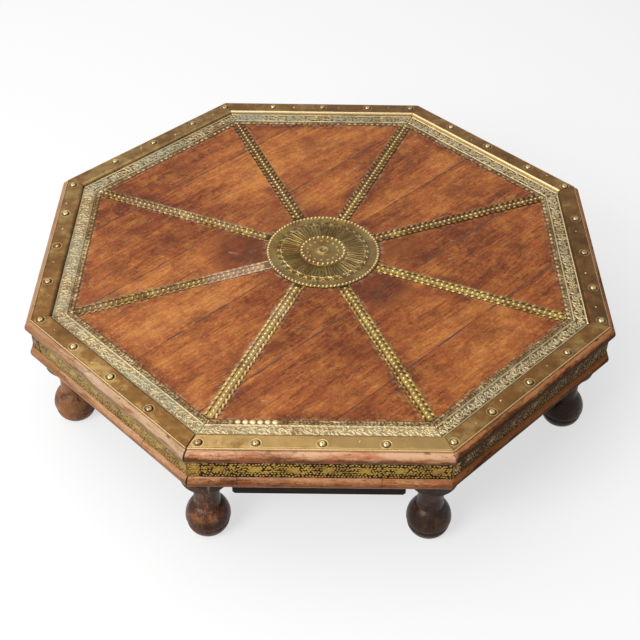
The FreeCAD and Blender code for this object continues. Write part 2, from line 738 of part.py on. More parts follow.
def make_keys():
    """Loose tongues across the rail mitres, closed in on every side."""
    body = new_body("mitre_keys", HALF_TURN)
    plan = new_sketch(body, "plan", "XY_Plane", shift=(None, None, "key_bottom"))
    draw_outline(plan, rectangle("key_near", "key_far", "-key_half", "key_half"))
    add_ring(body, [add_pad(body, plan, "key_thickness")], "side_count")


def make_cleats():
    """Cleats under the rails between the feet, with their lower corners chamfered."""
    body = new_body("under_cleats")
    face = new_sketch(body, "face", "YZ_Plane", shift=(None, None, "cleat_back"))
    draw_outline(face, (
        ("-cleat_foot", "cleat_bottom"), ("cleat_foot", "cleat_bottom"),
        ("cleat_half", "cleat_chamfer_top"), ("cleat_half", "frame_bottom"),
        ("-cleat_half", "frame_bottom"), ("-cleat_half", "cleat_chamfer_top")))
    add_ring(body, [add_pad(body, face, "cleat_thickness")], "side_count")


def main():
    fill_sheet()
    for index, side in enumerate(SIDES):
        turn = SIDE_TURN * index
        make_rail("rail_" + side, turn, side in BATTENS.values())
        make_rim_plate("rim_plate_" + side, turn)
        make_border("border_" + side, turn)
        make_band("band_" + side, turn)
    for index, corner in enumerate(CORNERS):
        turn = SIDE_TURN * index + HALF_TURN
        make_strap("strap_" + corner, turn)
        make_foot("foot_" + corner, turn)
    for number in BOARDS:
        make_board(number)
    make_medallion()
    make_battens()
    make_nails()
    make_keys()
    make_cleats()
    doc.recompute()
    check_model()
    write_parts()


def check_model():
    """Stop if any object failed or any sub-part is empty or broken."""
    failed = [item.Name for item in doc.Objects if {"Invalid", "Error"} & set(item.State)]
    broken = [item.Label for item in subparts if item.Shape.isNull() or not item.Shape.isValid()]
    if failed or broken:
        raise RuntimeError(f"failed: {failed}, broken: {broken}")


def write_parts():
    os.makedirs("parts", exist_ok=True)
    for item in subparts:
        item.Shape.exportStep(f"parts/{item.Label}.step")


main()
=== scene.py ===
import collections
import functools
import math

import bmesh
import bpy
import numpy as np
from bpy.props import FloatProperty, FloatVectorProperty, IntProperty, PointerProperty
from mathutils import Matrix, Vector


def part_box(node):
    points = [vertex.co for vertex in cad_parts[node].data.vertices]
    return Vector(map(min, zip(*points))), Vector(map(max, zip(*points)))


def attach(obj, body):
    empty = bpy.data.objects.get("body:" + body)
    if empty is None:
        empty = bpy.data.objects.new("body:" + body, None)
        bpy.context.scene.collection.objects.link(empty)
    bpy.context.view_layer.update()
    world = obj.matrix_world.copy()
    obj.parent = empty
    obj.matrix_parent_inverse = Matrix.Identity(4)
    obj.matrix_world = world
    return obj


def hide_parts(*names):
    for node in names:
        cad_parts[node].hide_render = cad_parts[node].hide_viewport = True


bl_info = {
    "name": "Brass-bound low table",
    "version": (1, 0, 0),
    "blender": (4, 5, 0),
    "location": "3D View > Sidebar > Low table",
    "description": "Embossed brass, worn wood and a studio stage for an octagonal low table",
    "category": "Object",
}

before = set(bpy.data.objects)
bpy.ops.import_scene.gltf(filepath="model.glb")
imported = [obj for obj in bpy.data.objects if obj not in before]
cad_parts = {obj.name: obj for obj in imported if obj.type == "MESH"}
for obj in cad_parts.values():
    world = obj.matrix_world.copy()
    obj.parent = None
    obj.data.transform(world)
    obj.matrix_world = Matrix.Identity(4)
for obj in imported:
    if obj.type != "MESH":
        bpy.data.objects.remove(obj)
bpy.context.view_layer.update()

# The table stands on z = 0 with its axis on the origin. Side 0 faces +X, the sides follow
# anticlockwise an eighth of a turn apart, and corner 0 lies half a step after side 0.
SIDES = ("right", "back_right", "back", "back_left", "left", "front_left", "front", "front_right")
CORNERS = ("right_back", "back_right", "back_left", "left_back",
           "left_front", "front_left", "front_right", "right_front")
EIGHTH = math.pi / 4
MITRE = math.tan(EIGHTH / 2)
MM = 0.001
# Edges sharper than this stay sharp.
CREASE = math.radians(50)
# Painted shadow falls on this side of the nails and pins, on their heads and in the dents round the nails.
NAIL_SHADOW_SIDE = np.array([0.85, 0.53, 0.0])

# How each side has worn, and two columns of painted light. Rim plate: how brown it is, how bright its inner
# fold is painted (painted highlight where the fold faces the light, painted shade where it faces away), and
# the end that has drawn back from the open mitre. Border: how clean its ground, leaves and scallops are, and its
# bloom. Band: how brown it is, how far its low places are darkened (painted shade on the right-hand sides, which
# face away from the light), and how far its ground is rubbed clean.
SideWear = collections.namedtuple("SideWear", "rim fold drawn_end ground leaves scallops bloom band dull rubbed")
SIDE_WEAR = {
    "right": SideWear(0.22, 0.60, 0, 0.12, 1.02, 1.20, 0.50, 0.08, 2.2, 0.0),
    "back_right": SideWear(0.12, 0.95, 0, 0.12, 0.90, 0.95, 0.60, 0.10, 1.0, 0.0),
    "back": SideWear(0.15, 0.95, 0, 0.12, 0.66, 1.00, 1.00, 0.10, 1.0, 0.0),
    "back_left": SideWear(0.05, 0.75, 0, 0.12, 0.80, 1.15, 0.75, 0.10, 1.0, 0.0),
    "left": SideWear(0.08, 0.34, 0, 0.26, 0.68, 0.80, 0.50, 0.02, 1.0, 0.23),
    "front_left": SideWear(0.10, 0.10, 1, 0.24, 0.72, 0.44, 0.62, -0.06, 1.0, 0.23),
    "front": SideWear(-0.10, 0.08, -1, 0.28, 0.88, 0.44, 0.22, -0.04, 1.0, 0.0),
    "front_right": SideWear(0.08, 0.10, 0, 0.12, 0.82, 0.44, 0.40, 0.06, 2.6, 0.0),
}
# How brown each strap is, how much dust lies on it, how bright its beads are and how clean its hems are.
StrapWear = collections.namedtuple("StrapWear", "age dust shine hem")
STRAP_WEAR = {
    "right_back": StrapWear(0.12, 0.05, 1.00, 0.00),
    "back_right": StrapWear(0.09, 0.05, 1.00, 0.00),
    "back_left": StrapWear(0.12, 0.05, 1.00, 0.00),
    "left_back": StrapWear(0.05, 0.36, 0.94, 0.42),
    "left_front": StrapWear(0.08, 0.58, 0.76, 0.46),
    "front_left": StrapWear(0.00, 0.36, 1.12, 0.52),
    "front_right": StrapWear(0.03, 0.05, 1.00, 0.34),
    "right_front": StrapWear(0.00, 0.05, 1.00, 0.34),
}
# Places on the boards, each x, y and reach: bleached, darkened, black with grime, dusty and chipped.
SUNNED = ((-0.15, -0.19, 0.19), (0.22, -0.17, 0.12), (-0.13, 0.17, 0.13), (0.17, 0.12, 0.06))
SHADED = ((-0.22, 0.06, 0.15), (0.0, -0.17, 0.14), (0.10, 0.22, 0.10), (0.22, 0.0, 0.13))
GRIMY = {(-0.104, 0.004, 0.072): 1.0, (0.072, -0.070, 0.070): 1.0,
         (0.112, 0.012, 0.070): 0.6, (-0.05, 0.095, 0.06): 0.5}
DUSTY_CORNER = (-0.24, -0.20, 0.16)
CHIPPED = (-0.21, -0.11, 0.13)
# The boards' first joint and their width, measured across the grain.
FIRST_JOINT, BOARD_WIDTH = -0.24005, 0.12402
# Soft steps along X: the bleached sides, the right-hand sides painted as in shade, the far left, the bare foot
# and the feet at the right painted as in shadow.
# The cups of the feet begin at a height.
BLEACHED, SHADED_RIGHT, FAR_LEFT = (-0.156, -0.160), (0.155, 0.161), (-0.325, -0.345)
BARE_FOOT, SHADED_FEET, CUP = (-0.24, -0.32), (0.0, 0.12), (0.080, 0.088)
# The lower mouldings' butt joints lie this far to each side of a shifted middle, and one mitre is open.
BUTT_SHIFT, BUTT_REACH = 12 * MM, 86 * MM
OPEN_MITRE = CORNERS.index("front_left") - len(CORNERS)
# Where along the front border the scallops are rubbed bright.
RUBBED_FROM, RUBBED_TO = -108 * MM, -50 * MM

plate_low, plate_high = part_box("rim_plate_right")
border_low, border_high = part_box("border_right")
band_low, band_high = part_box("band_right")
rosette_low, rosette_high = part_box("medallion")
RAIL_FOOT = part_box("rail_right")[0].z
BOARD_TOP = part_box("board_1")[1].z
RIM_TOP = plate_high.z
ROSETTE_MIDDLE = (rosette_low + rosette_high) / 2
ROSETTE_RADIUS = (rosette_high.x - rosette_low.x) / 2


def length(name, description, millimetres):
    return FloatProperty(name=name, description=description, default=millimetres * MM,
                         subtype="DISTANCE", unit="LENGTH", precision=5)


def colour(name, description, red, green, blue):
    return FloatVectorProperty(name=name, description=description, default=(red, green, blue, 1.0),
                               subtype="COLOR", size=4, min=0.0, max=1.0)


def angle(name, description, degrees):
    return FloatProperty(name=name, description=description, default=math.radians(degrees),
                         subtype="ANGLE", unit="ROTATION")


class LowTableSizes(bpy.types.PropertyGroup):
    """Sizes of the brass work."""
    grid_step: length("Grid step", "Distance between points of an embossed sheet", 0.68)
    sheet: length("Sheet", "Thickness of the sheet brass", 0.8)
    mitre_gap: length("Mitre gap", "Half of the open crack where two sheets meet at a corner", 0.3)
    plate_sheet: length("Plate sheet", "Thickness of the rim plates", 1.2)
    plate_ripple: length("Plate ripple", "Height of the waves in the rim plates", 0.16)
    plate_bend: length("Plate bend", "Radius of the rim plate's inner fold", 3.4)
    plate_edge: length("Plate edge", "Radius of the rim plate's outer edge", 0.8)
    plate_lip: length("Plate lip", "Depth of the rim plate's outer edge", 3.0)
    plate_hem: length("Plate hem", "Distance from the rim's outer edge to the groove in the plate", 2.2)
    nail_radius: length("Nail radius", "Radius of a domed nail's head", 4.3)
    nail_height: length("Nail height", "Height of a domed nail's head", 2.5)
    nail_inset: length("Nail inset", "Distance from the rim's outer edge to the nails", 10.0)
    nail_mitre: length("Nail by mitre", "Distance from a mitre to the nail beside it", 6.5)
    nail_dent: length("Nail dent", "Depth of the ring pressed into the plate round a nail", 0.5)
    scallop_pitch: length("Scallop pitch", "Distance between scallops of the border's edge", 8.9)
    scallop_depth: length("Scallop depth", "Depth of the notches between scallops", 2.6)
    margin: length("Margin", "Width of the border's scalloped margin", 8.6)
    field_middle: length("Field middle", "Distance from the border's edge to the middle of its vine", 18.1)
    field_half: length("Field half width", "Half of the width of the border's vine", 7.4)
    leaf_pitch: length("Leaf pitch", "Distance between leaves of the border's vine", 6.2)
    vine_period: length("Vine period", "Length of one wave of the border's vine", 21.0)
    relief: length("Relief", "Height of the border's embossing", 0.9)
    bead_pitch: length("Bead pitch", "Distance between beads of a strap", 7.1)
    bead_radius: length("Bead radius", "Radius of a strap's beads", 2.1)
    tooth_pitch: length("Tooth pitch", "Distance between teeth along a strap's edges", 8.9)
    tooth_radius: length("Tooth radius", "Half of a strap tooth's length", 3.0)
    bead_height: length("Bead height", "Height of a strap's beads", 1.7)
    strap_half: length("Strap half width", "Half of a strap's width", 9.2)
    strap_tuck: length("Strap tuck", "Length of a strap under the medallion", 6.0)
    hub_ring: length("Hub ring", "Radius of the ring of beads round the rosette's hub", 29.7)
    petal_foot: length("Petal foot", "Radius at which the rosette's disc steps down to its petals", 33.0)
    petal_end: length("Petal end", "Radius of the notches between the rosette's petals", 55.0)
    wave_ring: length("Wave ring", "Radius of the rosette's wavy ring", 62.4)
    edge_ring: length("Edge ring", "Radius of the ring of beads along the rosette's edge", 76.4)
    flower_period: length("Flower period", "Distance between flowers of the side bands", 43.0)
    flower_radius: length("Flower radius", "Radius of a side band's flowers", 4.9)
    dot_pitch: length("Dot pitch", "Distance between punched dots of the side bands", 3.8)
    dot_height: length("Dot height", "Height of the side bands' dots", 0.7)
    band_lap: length("Band lap", "Length of a side band's lap round the corner", 16.0)
    pin_radius: length("Pin radius", "Radius of a small brass pin's head", 1.5)
    petals: IntProperty(name="Petals", description="Petals of the rosette", default=32)
    hub_beads: IntProperty(name="Hub beads", description="Beads round the rosette's hub", default=28)
    edge_beads: IntProperty(name="Edge beads", description="Beads round the rosette's edge", default=88)


class LowTableColours(bpy.types.PropertyGroup):
    """Colours of the finishes."""
    board_pale: colour("Board, pale", "Light streaks of the top boards", 0.575, 0.228, 0.062)
    board_body: colour("Board", "Main colour of the top boards", 0.355, 0.107, 0.028)
    board_dark: colour("Board, dark", "Dark streaks of the top boards", 0.115, 0.025, 0.008)
    board_tawny: colour("Board, tawny", "Yellow-brown mottling of the boards", 0.48, 0.205, 0.045)
    board_ruddy: colour("Board, ruddy", "Red stain on the boards", 0.27, 0.062, 0.022)
    board_dirt: colour("Board dirt", "Dirt along the brass", 0.080, 0.022, 0.012)
    board_joint: colour("Board joint", "Dirt in the joints between boards", 0.120, 0.064, 0.042)
    board_split: colour("Board split", "Splits along the boards' grain", 0.060, 0.018, 0.008)
    # Worn finish and pale grain, and the painted highlight along the top of each moulding.
    rail_worn_and_highlight: colour("Moulding, worn", "Mouldings where the finish is worn through", 0.70, 0.415, 0.255)
    rail_body: colour("Moulding", "Main colour of the mouldings", 0.53, 0.190, 0.050)
    # Dark grain, dirt, old finish and stains, and the painted shade along the bottom of each moulding.
    rail_dark_and_shade: colour("Moulding, dark", "Dirt and old finish on the mouldings", 0.095, 0.031, 0.009)
    rail_red: colour("Moulding, red", "Red stain on the mouldings", 0.44, 0.125, 0.048)
    # The bleached sides are painted bare and pale above as highlight, and olive below as shade.
    rail_bare_and_highlight: colour("Moulding, bare", "Bare wood of the bleached sides", 0.42, 0.285, 0.165)
    rail_olive_and_shade: colour("Moulding, olive", "Low places of the bleached sides", 0.25, 0.150, 0.058)
    rail_chalk: colour("Moulding, chalky", "Chalky streaks of the bleached sides", 0.46, 0.37, 0.29)
    rail_brown: colour("Moulding, brown", "Dark streaks of the bleached sides", 0.25, 0.105, 0.046)
    rail_left: colour("Moulding, left", "Old finish at the far left", 0.28, 0.115, 0.040)
    # The right-hand sides' mouldings are painted as in shade: black, with a painted orange highlight along the top of
    # each.
    right_side_highlight: colour("Wax, orange", "Old wax on the right-hand sides", 0.46, 0.165, 0.048)
    right_side_shade: colour("Wax, black", "Blackened wax on the right-hand sides", 0.055, 0.017, 0.004)
    rail_nick: colour("Moulding nick", "Nicks in the mouldings", 0.045, 0.016, 0.007)
    rail_gap: colour("Moulding gap", "Open joints of the mouldings", 0.02, 0.008, 0.004)
    foot_worn: colour("Foot, worn", "Worn patches of the feet", 0.37, 0.156, 0.066)
    foot_body: colour("Foot", "Main colour of the feet", 0.095, 0.032, 0.014)
    # Old dark finish and dark grain, and the painted shadow on the feet at the right.
    foot_dark_and_shade: colour("Foot, dark", "Old dark finish of the feet", 0.016, 0.007, 0.004)
    foot_cup: colour("Foot cup", "Dull finish of the cups on the feet", 0.040, 0.028, 0.016)
    under_body: colour("Underside", "Bare wood under the table", 0.024, 0.015, 0.010)
    brass_bright: colour("Brass, bright", "Brass polished by wear", 0.62, 0.475, 0.255)
    brass_brown: colour("Brass, brown", "Brown patina on the brass", 0.128, 0.052, 0.010)
    rim_body: colour("Rim brass", "Main colour of the rim plates", 0.30, 0.190, 0.070)
    # Dirt round the nails, and the painted shade and shadow on the rim plates' folds, round the nails and on their
    # heads.
    rim_dirt_and_shade: colour("Rim brass, dark", "Dirt round the nails", 0.032, 0.017, 0.006)
    border_body: colour("Border brass", "Main colour of the border", 0.40, 0.305, 0.160)
    border_hollow: colour("Border brass, dark", "Hollows of the border", 0.070, 0.041, 0.013)
    strap_body: colour("Strap brass", "Main colour of the straps", 0.37, 0.250, 0.066)
    strap_hollow: colour("Strap brass, dark", "Hollows of the straps", 0.034, 0.020, 0.004)
    rosette_body: colour("Rosette brass", "Main colour of the rosette", 0.255, 0.172, 0.050)
    rosette_hollow: colour("Rosette brass, dark", "Hollows of the rosette", 0.050, 0.029, 0.008)
    band_body: colour("Band brass", "Yellow brass of the side bands", 0.44, 0.27, 0.050)
    band_hollow: colour("Band brass, dark", "Dark ground of the side bands", 0.030, 0.014, 0.003)
    verdigris: colour("Verdigris", "Grey-green bloom on the border", 0.29, 0.28, 0.20)
    dust: colour("Dust", "Pale dust along the brass", 0.50, 0.39, 0.28)
    strap_dust: colour("Strap dust", "Dust on the straps", 0.49, 0.325, 0.215)
    floor: colour("Floor", "The studio floor", 0.88, 0.88, 0.88)
    floor_bounce: colour("Floor bounce", "The floor as it gives light back", 0.32, 0.32, 0.32)


class LowTableStage(bpy.types.PropertyGroup):
    """The view and the light."""
    lens: FloatProperty(name="Lens", description="Focal length in millimetres", default=69.0)
    distance: length("Distance", "From the camera to the point it looks at", 1588.0)
    aim: length("Aim", "How far before the table's middle the camera looks", 149.0)
    aim_side: length("Aim, sideways", "How far to the right of the middle the camera looks", 0.4)
    elevation: angle("Elevation", "Height of the camera above the horizon", 41.69)
    turn: angle("Turn", "Turn of the camera about the table", -0.47)
    roll: angle("Roll", "Turn of the camera about its own line of sight", 1.0)
    sky: FloatProperty(name="Sky", description="Strength of the even light", default=0.18)
    overhead: FloatProperty(name="Overhead", description="Power of the overhead lamp in watts", default=50.0)
    key: FloatProperty(name="Key", description="Power of the lamp at the left in watts", default=84.0)
    floor_glow: FloatProperty(name="Floor glow", description="Share of plain white in the floor", default=0.66)


# ---- shapes


def side_axes(index):
    """Outward and lengthwise directions of a side. A half step gives a corner's line."""
    turn = index * EIGHTH
    return (np.array([math.cos(turn), math.sin(turn), 0.0]),
            np.array([-math.sin(turn), math.cos(turn), 0.0]))


def on_side(index, out, along, up):
    """Points at distances out from the axis, along the side and up from the floor."""
    normal, run = side_axes(index)
    out, along, up = np.broadcast_arrays(out, along, up)
    return out[..., None] * normal + along[..., None] * run + up[..., None] * np.array([0.0, 0.0, 1.0])


def ramp(value, span):
    """Straight climb from 0 to 1 over the span."""
    return np.clip(value / span, 0.0, 1.0)


def dome(distance, radius):
    """Round dome of height 1: the square root of one minus the squared share of the radius."""
    return np.sqrt(np.clip(1.0 - (distance / radius) ** 2, 0.0, None))


def ridge(distance, width):
    """Rounded ridge of height 1 that falls off as a bell curve."""
    return np.exp(-(distance / width) ** 2)


def highest(*reliefs):
    """The highest of several reliefs at each point."""
    return functools.reduce(np.maximum, reliefs)


def from_nearest(value, pitch, shift=0.0):
    """Signed distance to the nearest of evenly spaced places."""
    return (value - shift + pitch / 2) % pitch - pitch / 2


def ripple(along, across, seed):
    """Slow waves of height 1: three sines of unlike lengths, with phases set by the seed."""
    phase = np.random.default_rng(seed).uniform(0.0, 2 * math.pi, 3)
    return (np.sin(along * 130.0 + across * 60.0 + phase[0])
            + np.sin(along * 61.0 - across * 140.0 + phase[1])
            + np.sin(along * 283.0 + phase[2])) / 3


def ring_quads(index):
    """Quads between neighbouring rows of a grid of point numbers. Each row closes on itself."""
    around = np.concatenate([index, index[:, :1]], axis=1)
    quads = np.stack([around[:-1, :-1], around[1:, :-1], around[1:, 1:], around[:-1, 1:]], axis=-1)
    return quads.reshape(-1, 4).tolist()


def strip_faces(rows, columns):
    """Quads of a closed section carried along a path, and a cap at each end."""
    index = np.arange(rows * columns).reshape(rows, columns)
    return ring_quads(index) + [index[0].tolist(), index[-1].tolist()]


def disc_faces(rings, segments):
    """Triangles round a pole, quads between rings and a cap on the last ring. The pole is point 0."""
    index = 1 + np.arange(rings * segments).reshape(rings, segments)
    fan = np.stack([np.zeros(segments, int), index[0], np.roll(index[0], -1)], axis=-1)
    return fan.tolist() + ring_quads(index) + [index[-1].tolist()]


def put_piece(name, points, faces, raised, material, nodes, aged=0.0, dusty=0.0):
    """Mesh object that stands for the CAD nodes named. Its points keep their share of the relief, how
    brown the piece has turned and how much dust or bloom lies on it. On the rim plates, nails and pins
    the share of the relief also carries painted highlight and shade."""
    mesh = bpy.data.meshes.new(name)
    mesh.from_pydata(points.reshape(-1, 3).tolist(), [], faces)
    shape = bmesh.new()
    shape.from_mesh(mesh)
    bmesh.ops.recalc_face_normals(shape, faces=shape.faces)
    shape.to_mesh(mesh)
    shape.free()
    for label, values in (("raised", raised), ("aged", aged), ("dusty", dusty)):
        share = mesh.attributes.new(label, "FLOAT", "POINT")
        values = np.broadcast_to(values, np.shape(raised))
        share.data.foreach_set("value", np.ascontiguousarray(values, np.float32).ravel())
    mesh.shade_smooth()
    mesh.set_sharp_from_angle(angle=CREASE)
    mesh.materials.append(material)
    piece = bpy.data.objects.new(name, mesh)
    bpy.context.scene.collection.objects.link(piece)
    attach(piece, "root")
    if nodes:
        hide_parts(*nodes)
    return piece


def put_strips(names, make, piece, node, material):
    """One strip for each side or corner named, in the place of the CAD node of that name."""
    for index, name in enumerate(names):
        points, raised, aged, dusty = make(index, bpy.context.scene.low_table_sizes)
        put_piece(piece + name, points, strip_faces(*points.shape[:2]), raised, material,
                  [node + name], aged, dusty)


def rows_over(span, step):
    """Number of points that a span needs."""
    return int(math.ceil(span / step)) + 1


def nail_places(index, sizes):
    """Distances along a side of its nails: one beside the mitre and three evenly spaced, each a
    little off by a seeded shift."""
    half = (plate_high.x - sizes.nail_inset) * MITRE
    shift = np.random.default_rng(80 + index).uniform(-2.0, 2.5, 4) * MM
    shift += 2.0 * MM * (SIDES[index] == "front")
    return np.array([-(half - sizes.nail_mitre), -half / 2, 0.0, half / 2]) + shift


def rim_section(sizes):
    """Section of a rim plate as distances out and up: the outer skin from the foot of the inner
    fold, round a quarter circle, over the flat and down the lip, then the inner skin back."""
    bend, thick, edge = sizes.plate_bend, sizes.plate_sheet, sizes.plate_edge
    inner, outer, turn = plate_low.x, plate_high.x, np.linspace(0.0, math.pi / 2, 9)
    flat = np.concatenate([np.linspace(inner + bend, outer - 3.4 * MM, 22)[1:],
                           np.linspace(outer - 3.0 * MM, outer - edge, 8)[:-1]])
    out = np.concatenate([[inner] * 3, inner + bend * (1 - np.cos(turn)), flat,
                          outer - edge * (1 - np.sin(turn[::2])), [outer] * 2])
    up = np.concatenate([np.linspace(plate_low.z, RIM_TOP - bend, 4)[:3], RIM_TOP - bend * (1 - np.sin(turn)),
                         np.full(flat.size, RIM_TOP), RIM_TOP - edge * (1 - np.cos(turn[::2])),
                         RIM_TOP - np.array([0.6, 1.0]) * sizes.plate_lip])
    back_out = np.array([outer - thick, outer - thick, inner + bend, inner + thick, inner + thick])
    back_up = np.array([up[-1], RIM_TOP - thick, RIM_TOP - thick, RIM_TOP - bend, plate_low.z])
    return np.concatenate([out, back_out]), np.concatenate([up, back_up]), out.size


def rim_sheet(index, sizes):
    """Rim plate: its section run between the mitres, with slow waves, a groove along its hem, and a
    ring dent and a ring ridge round each nail. Dirt lies in the dents, a painted shadow lies on the side of
    each nail away from the light, and the inner fold has painted highlight on the sides whose fold faces the
    light and painted shade on the others."""
    wear, plain = SIDE_WEAR[SIDES[index]], 0.55
    out, up, skin = rim_section(sizes)
    outside = np.arange(out.size) < skin
    from_edge, from_hem = out - plate_high.x, out - plate_high.x + sizes.plate_hem
    run = np.linspace(-1.0, 1.0, rows_over(2 * plate_high.x * MITRE, 1.35 * sizes.grid_step))
    drawn_back = 1.0 + 2.4 * (run * wear.drawn_end > 0.0)
    along = run[:, None] * (out * MITRE - sizes.mitre_gap * drawn_back[:, None])
    gap = along[..., None] - nail_places(index, sizes)
    gap = np.take_along_axis(gap, np.abs(gap).argmin(axis=-1)[..., None], axis=-1)[..., 0]
    gap_out = (from_edge + sizes.nail_inset)[None, :]
    away = np.hypot(gap, gap_out)
    normal, lengthwise = side_axes(index)
    shadow_facing = (gap * (lengthwise @ NAIL_SHADOW_SIDE) + gap_out * (normal @ NAIL_SHADOW_SIDE)) / np.maximum(away, MM)
    from_head = away - sizes.nail_radius
    change = sizes.plate_ripple * ripple(along, out[None, :], index) * ramp(-from_edge, 6 * MM)
    change -= 0.35 * MM * ridge(from_hem, 0.45 * MM)[None, :]
    change -= sizes.nail_dent * ridge(from_head - 0.6 * MM, 0.8 * MM)
    change += 0.4 * sizes.nail_dent * ridge(from_head - 2.1 * MM, 0.7 * MM)
    height = up[None, :] + np.where(outside & (up > RIM_TOP - sizes.plate_sheet), change, 0.0)
    # Painted highlight and shade on the inner fold, set for each side by how its fold faces the light.
    fold = ramp(plate_low.x + sizes.plate_bend - out, 2 * MM) * outside
    raised = plain + fold * (wear.fold - plain)
    # A dark ring round each nail: dirt in the dent, with a painted shadow added on the side away from the light.
    raised = raised - (0.30 + 0.45 * np.clip(shadow_facing, 0.0, 1.0)) * ridge(from_head - 0.4 * MM, 1.0 * MM)
    raised += 0.34 * ridge(from_head - 2.2 * MM, 0.6 * MM)
    raised += (0.35 * ridge(from_edge, 1.2 * MM) - 0.3 * ridge(from_hem, 0.5 * MM))[None, :]
    return on_side(index, out[None, :], along, height), raised, wear.rim, 0.0


def nearby_cells(along, across, pitch, shake):
    """The cell of a square grid that each point lies in and the eight round it: column, row and that
    cell's shifts from a seeded table."""
    column, row = np.floor(along / pitch), np.floor(across / pitch)
    for step in range(9):
        at_column, at_row = column + step // 3 - 1, row + step % 3 - 1
        yield at_column, at_row, shake[at_column.astype(int) % len(shake), at_row.astype(int) % shake.shape[1]]


def leaf_strokes(along, across, pitch, seed):
    """Chased leaves of height 1: in each cell of a grid a slim bent ellipse, whose place, slant and
    length are shaken by a seeded table. Neighbouring rows slant opposite ways."""
    shake = np.random.default_rng(seed).uniform(-1.0, 1.0, (211, 37, 4))
    best = np.zeros(np.broadcast(along, across).shape)
    for column, row, push in nearby_cells(along, across, pitch, shake):
        slant = 0.7 * (1.0 - 2.0 * (row % 2)) + 0.7 * push[..., 2]
        from_along = along - (column + 0.5 + 0.28 * push[..., 0]) * pitch
        from_across = across - (row + 0.5 + 0.28 * push[..., 1]) * pitch
        lengthwise = (from_along * np.cos(slant) + from_across * np.sin(slant)) / pitch
        sidewise = (from_across * np.cos(slant) - from_along * np.sin(slant)) / pitch - 0.3 * lengthwise ** 2
        reach = (lengthwise / (0.62 + 0.14 * push[..., 3])) ** 2 + (sidewise / 0.23) ** 2
        best = np.maximum(best, dome(np.sqrt(reach), 1.0))
    return best


def vine_relief(index, along, middle, sizes):
    """Leafy vine of height 1: a sine for its stem, a ring in each bend and leaf strokes all round."""
    period = sizes.vine_period
    wave = 2 * math.pi * along / period + index
    stem = ridge(middle - 3.6 * MM * np.sin(wave), 0.7 * MM)
    from_bend = from_nearest(along, period / 2, period * (0.25 - index / (2 * math.pi)))
    side_of_stem = np.sign(np.sin(2 * math.pi * (along - from_bend) / period + index))
    curl = ridge(np.hypot(from_bend, middle + 2.6 * MM * side_of_stem) - 3.3 * MM, 0.75 * MM)
    leaves = leaf_strokes(along + 0.31 * index, middle, sizes.leaf_pitch, 10 + index)
    return highest(0.95 * stem, 0.95 * curl, leaves)


def border_strip(index, sizes):
    """Border: a scalloped inner edge whose line is a row of half ellipses, a small boss on the tip of
    each scallop, slips of leaf behind it, two raised rolls and a leafy vine between them. The sheet ends
    on the mitres. A few scallops of the front strip are bossed out whole and rubbed bright."""
    wear, inner, outer = SIDE_WEAR[SIDES[index]], border_low.x, border_high.x
    run = np.linspace(-1.0, 1.0, rows_over(2 * outer * MITRE, sizes.grid_step))[:, None]
    share = np.linspace(0.0, 1.0, rows_over(outer - inner, 0.85 * sizes.grid_step))[None, :]
    pitch = 2 * inner * MITRE / round(2 * inner * MITRE / sizes.scallop_pitch)
    notch = sizes.scallop_depth * (1.0 - dome(from_nearest(run * inner * MITRE, pitch), pitch / 2))
    out = inner + notch + share * (outer - inner - notch)
    along = run * (out * MITRE - sizes.mitre_gap)
    edge, middle = out - inner, out - inner - sizes.field_middle
    beside, number = from_nearest(along, pitch), np.round(along / pitch).astype(int) % 101
    rubbed = (SIDES[index] == "front") & (along > RUBBED_FROM) & (along < RUBBED_TO)
    boss = np.where(rubbed, dome(np.hypot(beside, edge - 4.4 * MM), 4.0 * MM),
                    dome(np.hypot(0.8 * beside, edge - 2.9 * MM), 2.4 * MM))
    rolls = np.clip(ridge(edge - 9.6 * MM, 0.8 * MM) + ridge(edge - 26.6 * MM, 1.1 * MM), 0.0, 1.0)
    field = np.abs(middle) < sizes.field_half
    vine = vine_relief(index, along, middle, sizes) * field
    slips = leaf_strokes(along + 0.57 * index, edge, 0.5 * sizes.scallop_pitch, 90 + index)
    slips = slips * ramp(edge - 0.8 * MM, MM) * ramp(8.2 * MM - edge, MM) * ~rubbed
    ends = ramp(out * MITRE - np.abs(along), 1.5 * MM)
    relief = highest(np.where(rubbed, 0.95, 0.6) * boss, rolls, 0.85 * vine, 0.5 * slips) * ends
    height = BOARD_TOP + sizes.sheet + sizes.relief * relief + 0.12 * MM * ripple(along, out, 20 + index)
    shine = np.random.default_rng(30 + index).uniform(0.5, 1.1, 101)[number] * wear.scallops
    patchy = np.random.default_rng(130 + index).uniform(0.62, 1.0, 101)[number]
    shine = np.where(rubbed, np.where(patchy > 0.7, 1.2, 0.7), shine)
    plain = np.where(middle > 0.0, 0.9 * wear.leaves, 0.55)
    ground = np.where(edge > sizes.margin, np.where(field, wear.ground, plain), 0.17)
    raised = highest(shine * boss, (0.24 + 0.82 * wear.leaves) * rolls, wear.leaves * vine * patchy,
                     0.72 * slips, ground)
    points, raised = skirted(index, out, along, height, raised, BOARD_TOP)
    margin = np.concatenate([edge < sizes.margin, np.ones((edge.shape[0], 2), bool)], axis=1)
    return points, raised, np.where(margin, 0.05, -0.08), np.where(margin, 0.1, 1.0) * wear.bloom


def skirted(index, out, along, height, raised, floor_height):
    """Sheet lying on a face: its embossed top with a skirt down to the face along both edges."""
    out = np.concatenate([out, out[:, -1:], out[:, :1]], axis=1)
    along = np.concatenate([along, along[:, -1:], along[:, :1]], axis=1)
    foot = np.full((height.shape[0], 2), floor_height)
    return (on_side(index, out, along, np.concatenate([height, foot], axis=1)),
            np.concatenate([raised, 0.0 * foot], axis=1))


